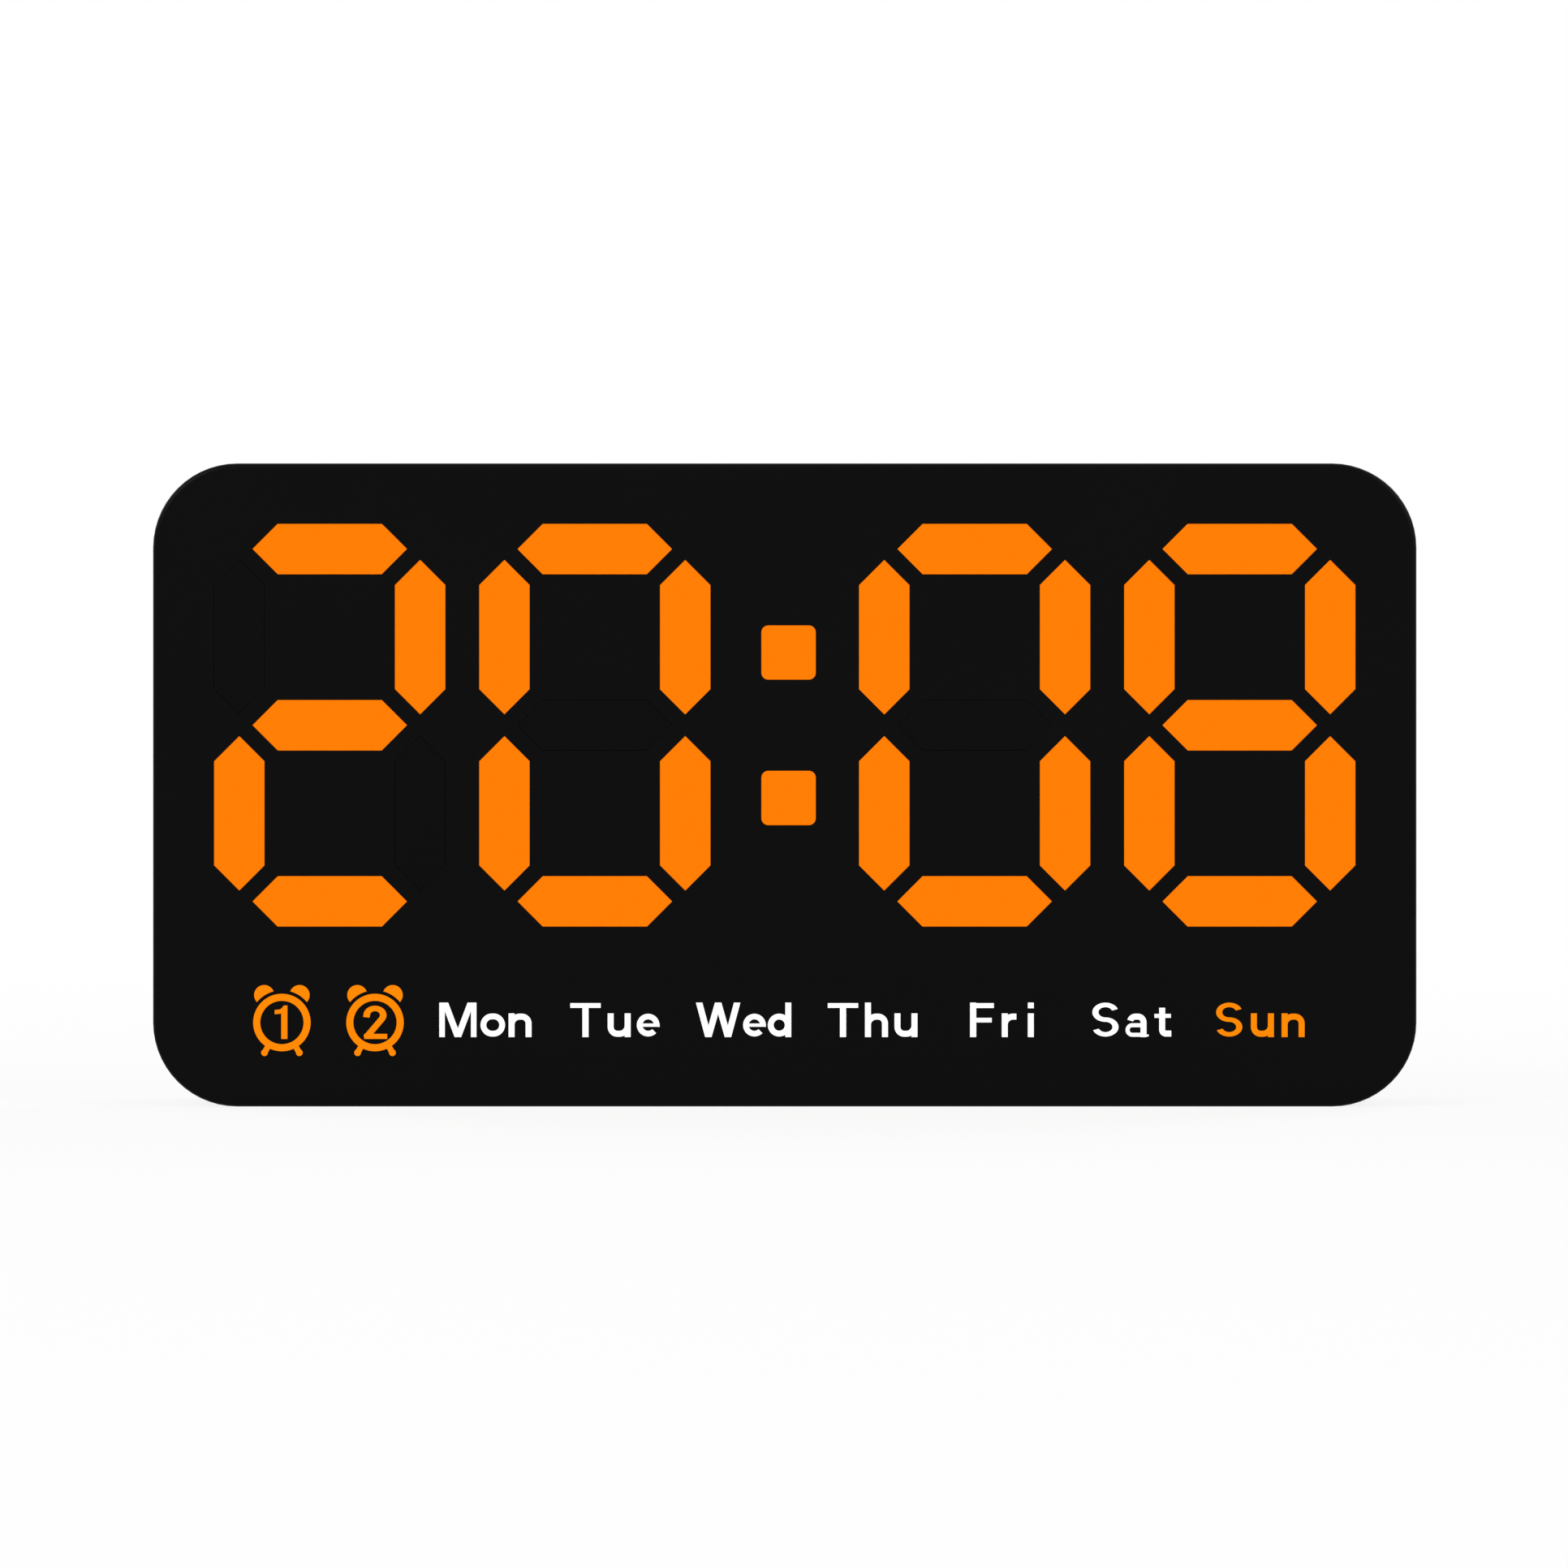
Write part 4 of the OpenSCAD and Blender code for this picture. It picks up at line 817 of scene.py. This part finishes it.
under_clock = Matrix.Translation((0, 0, cad_box[0].z))
bm = bmesh.new()
bmesh.ops.create_circle(
    bm, cap_ends=True, segments=FLOOR_SIDES, radius=FLOOR_RADIUS, matrix=under_clock)
floor = make_object(bm, "floor")
floor.data.materials.append(floor_white)

# Studio light
# Even white light from all round, with large soft lamps high in front and behind.
# A lamp has its place and its power.
WORLD_LIGHT = 0.45
LAMP_SIZE = 0.9
LAMPS = {
    "lamp_front_left": ((-0.9, -1.0, 0.9), 9.0),
    "lamp_front_right": ((1.1, -0.9, 0.7), 6.0),
    "lamp_back_right": ((0.8, 1.1, 0.8), 9.0),
    "lamp_back_left": ((-1.0, 0.9, 0.6), 6.0)}
world = bpy.data.worlds.new("white_world")
bpy.context.scene.world = world
world.use_nodes = True
world.node_tree.nodes.clear()
start = Socket(world.node_tree)
sky = start.node("ShaderNodeBackground", None, {
    "Color": PLAIN_WHITE, "Strength": WORLD_LIGHT + (1 - WORLD_LIGHT) * seen_directly(start)})
start.node("ShaderNodeOutputWorld", None, {"Surface": sky})

for name, (lamp_at, power) in LAMPS.items():
    light = bpy.data.lights.new(name, "AREA")
    light.shape = "DISK"
    light.size = LAMP_SIZE
    light.energy = power
    lamp = bpy.data.objects.new(name, light)
    lamp.location = lamp_at
    lamp.rotation_euler = (-Vector(lamp_at)).to_track_quat("-Z", "Y").to_euler()
    bpy.context.scene.collection.objects.link(lamp)

# Camera
# Straight on to the face, from far enough that the sides stay hidden behind it.
# The clock stands a hair off the middle of the picture.
LENS = 150
SENSOR = 36
VIEW_WIDTH = 204.62 * MM
AIM_X = -0.0964 * MM
AIM_Z = 0.126 * MM
camera_data = bpy.data.cameras.new("camera")
camera_data.lens = LENS
camera_data.sensor_width = SENSOR
camera = bpy.data.objects.new("camera", camera_data)
camera.location = (AIM_X, cad_box[0].y - VIEW_WIDTH * LENS / SENSOR, AIM_Z)
camera.rotation_euler = (math.radians(90), 0, 0)
bpy.context.scene.collection.objects.link(camera)
bpy.context.scene.camera = camera
bpy.context.scene.view_settings.view_transform = "Standard"
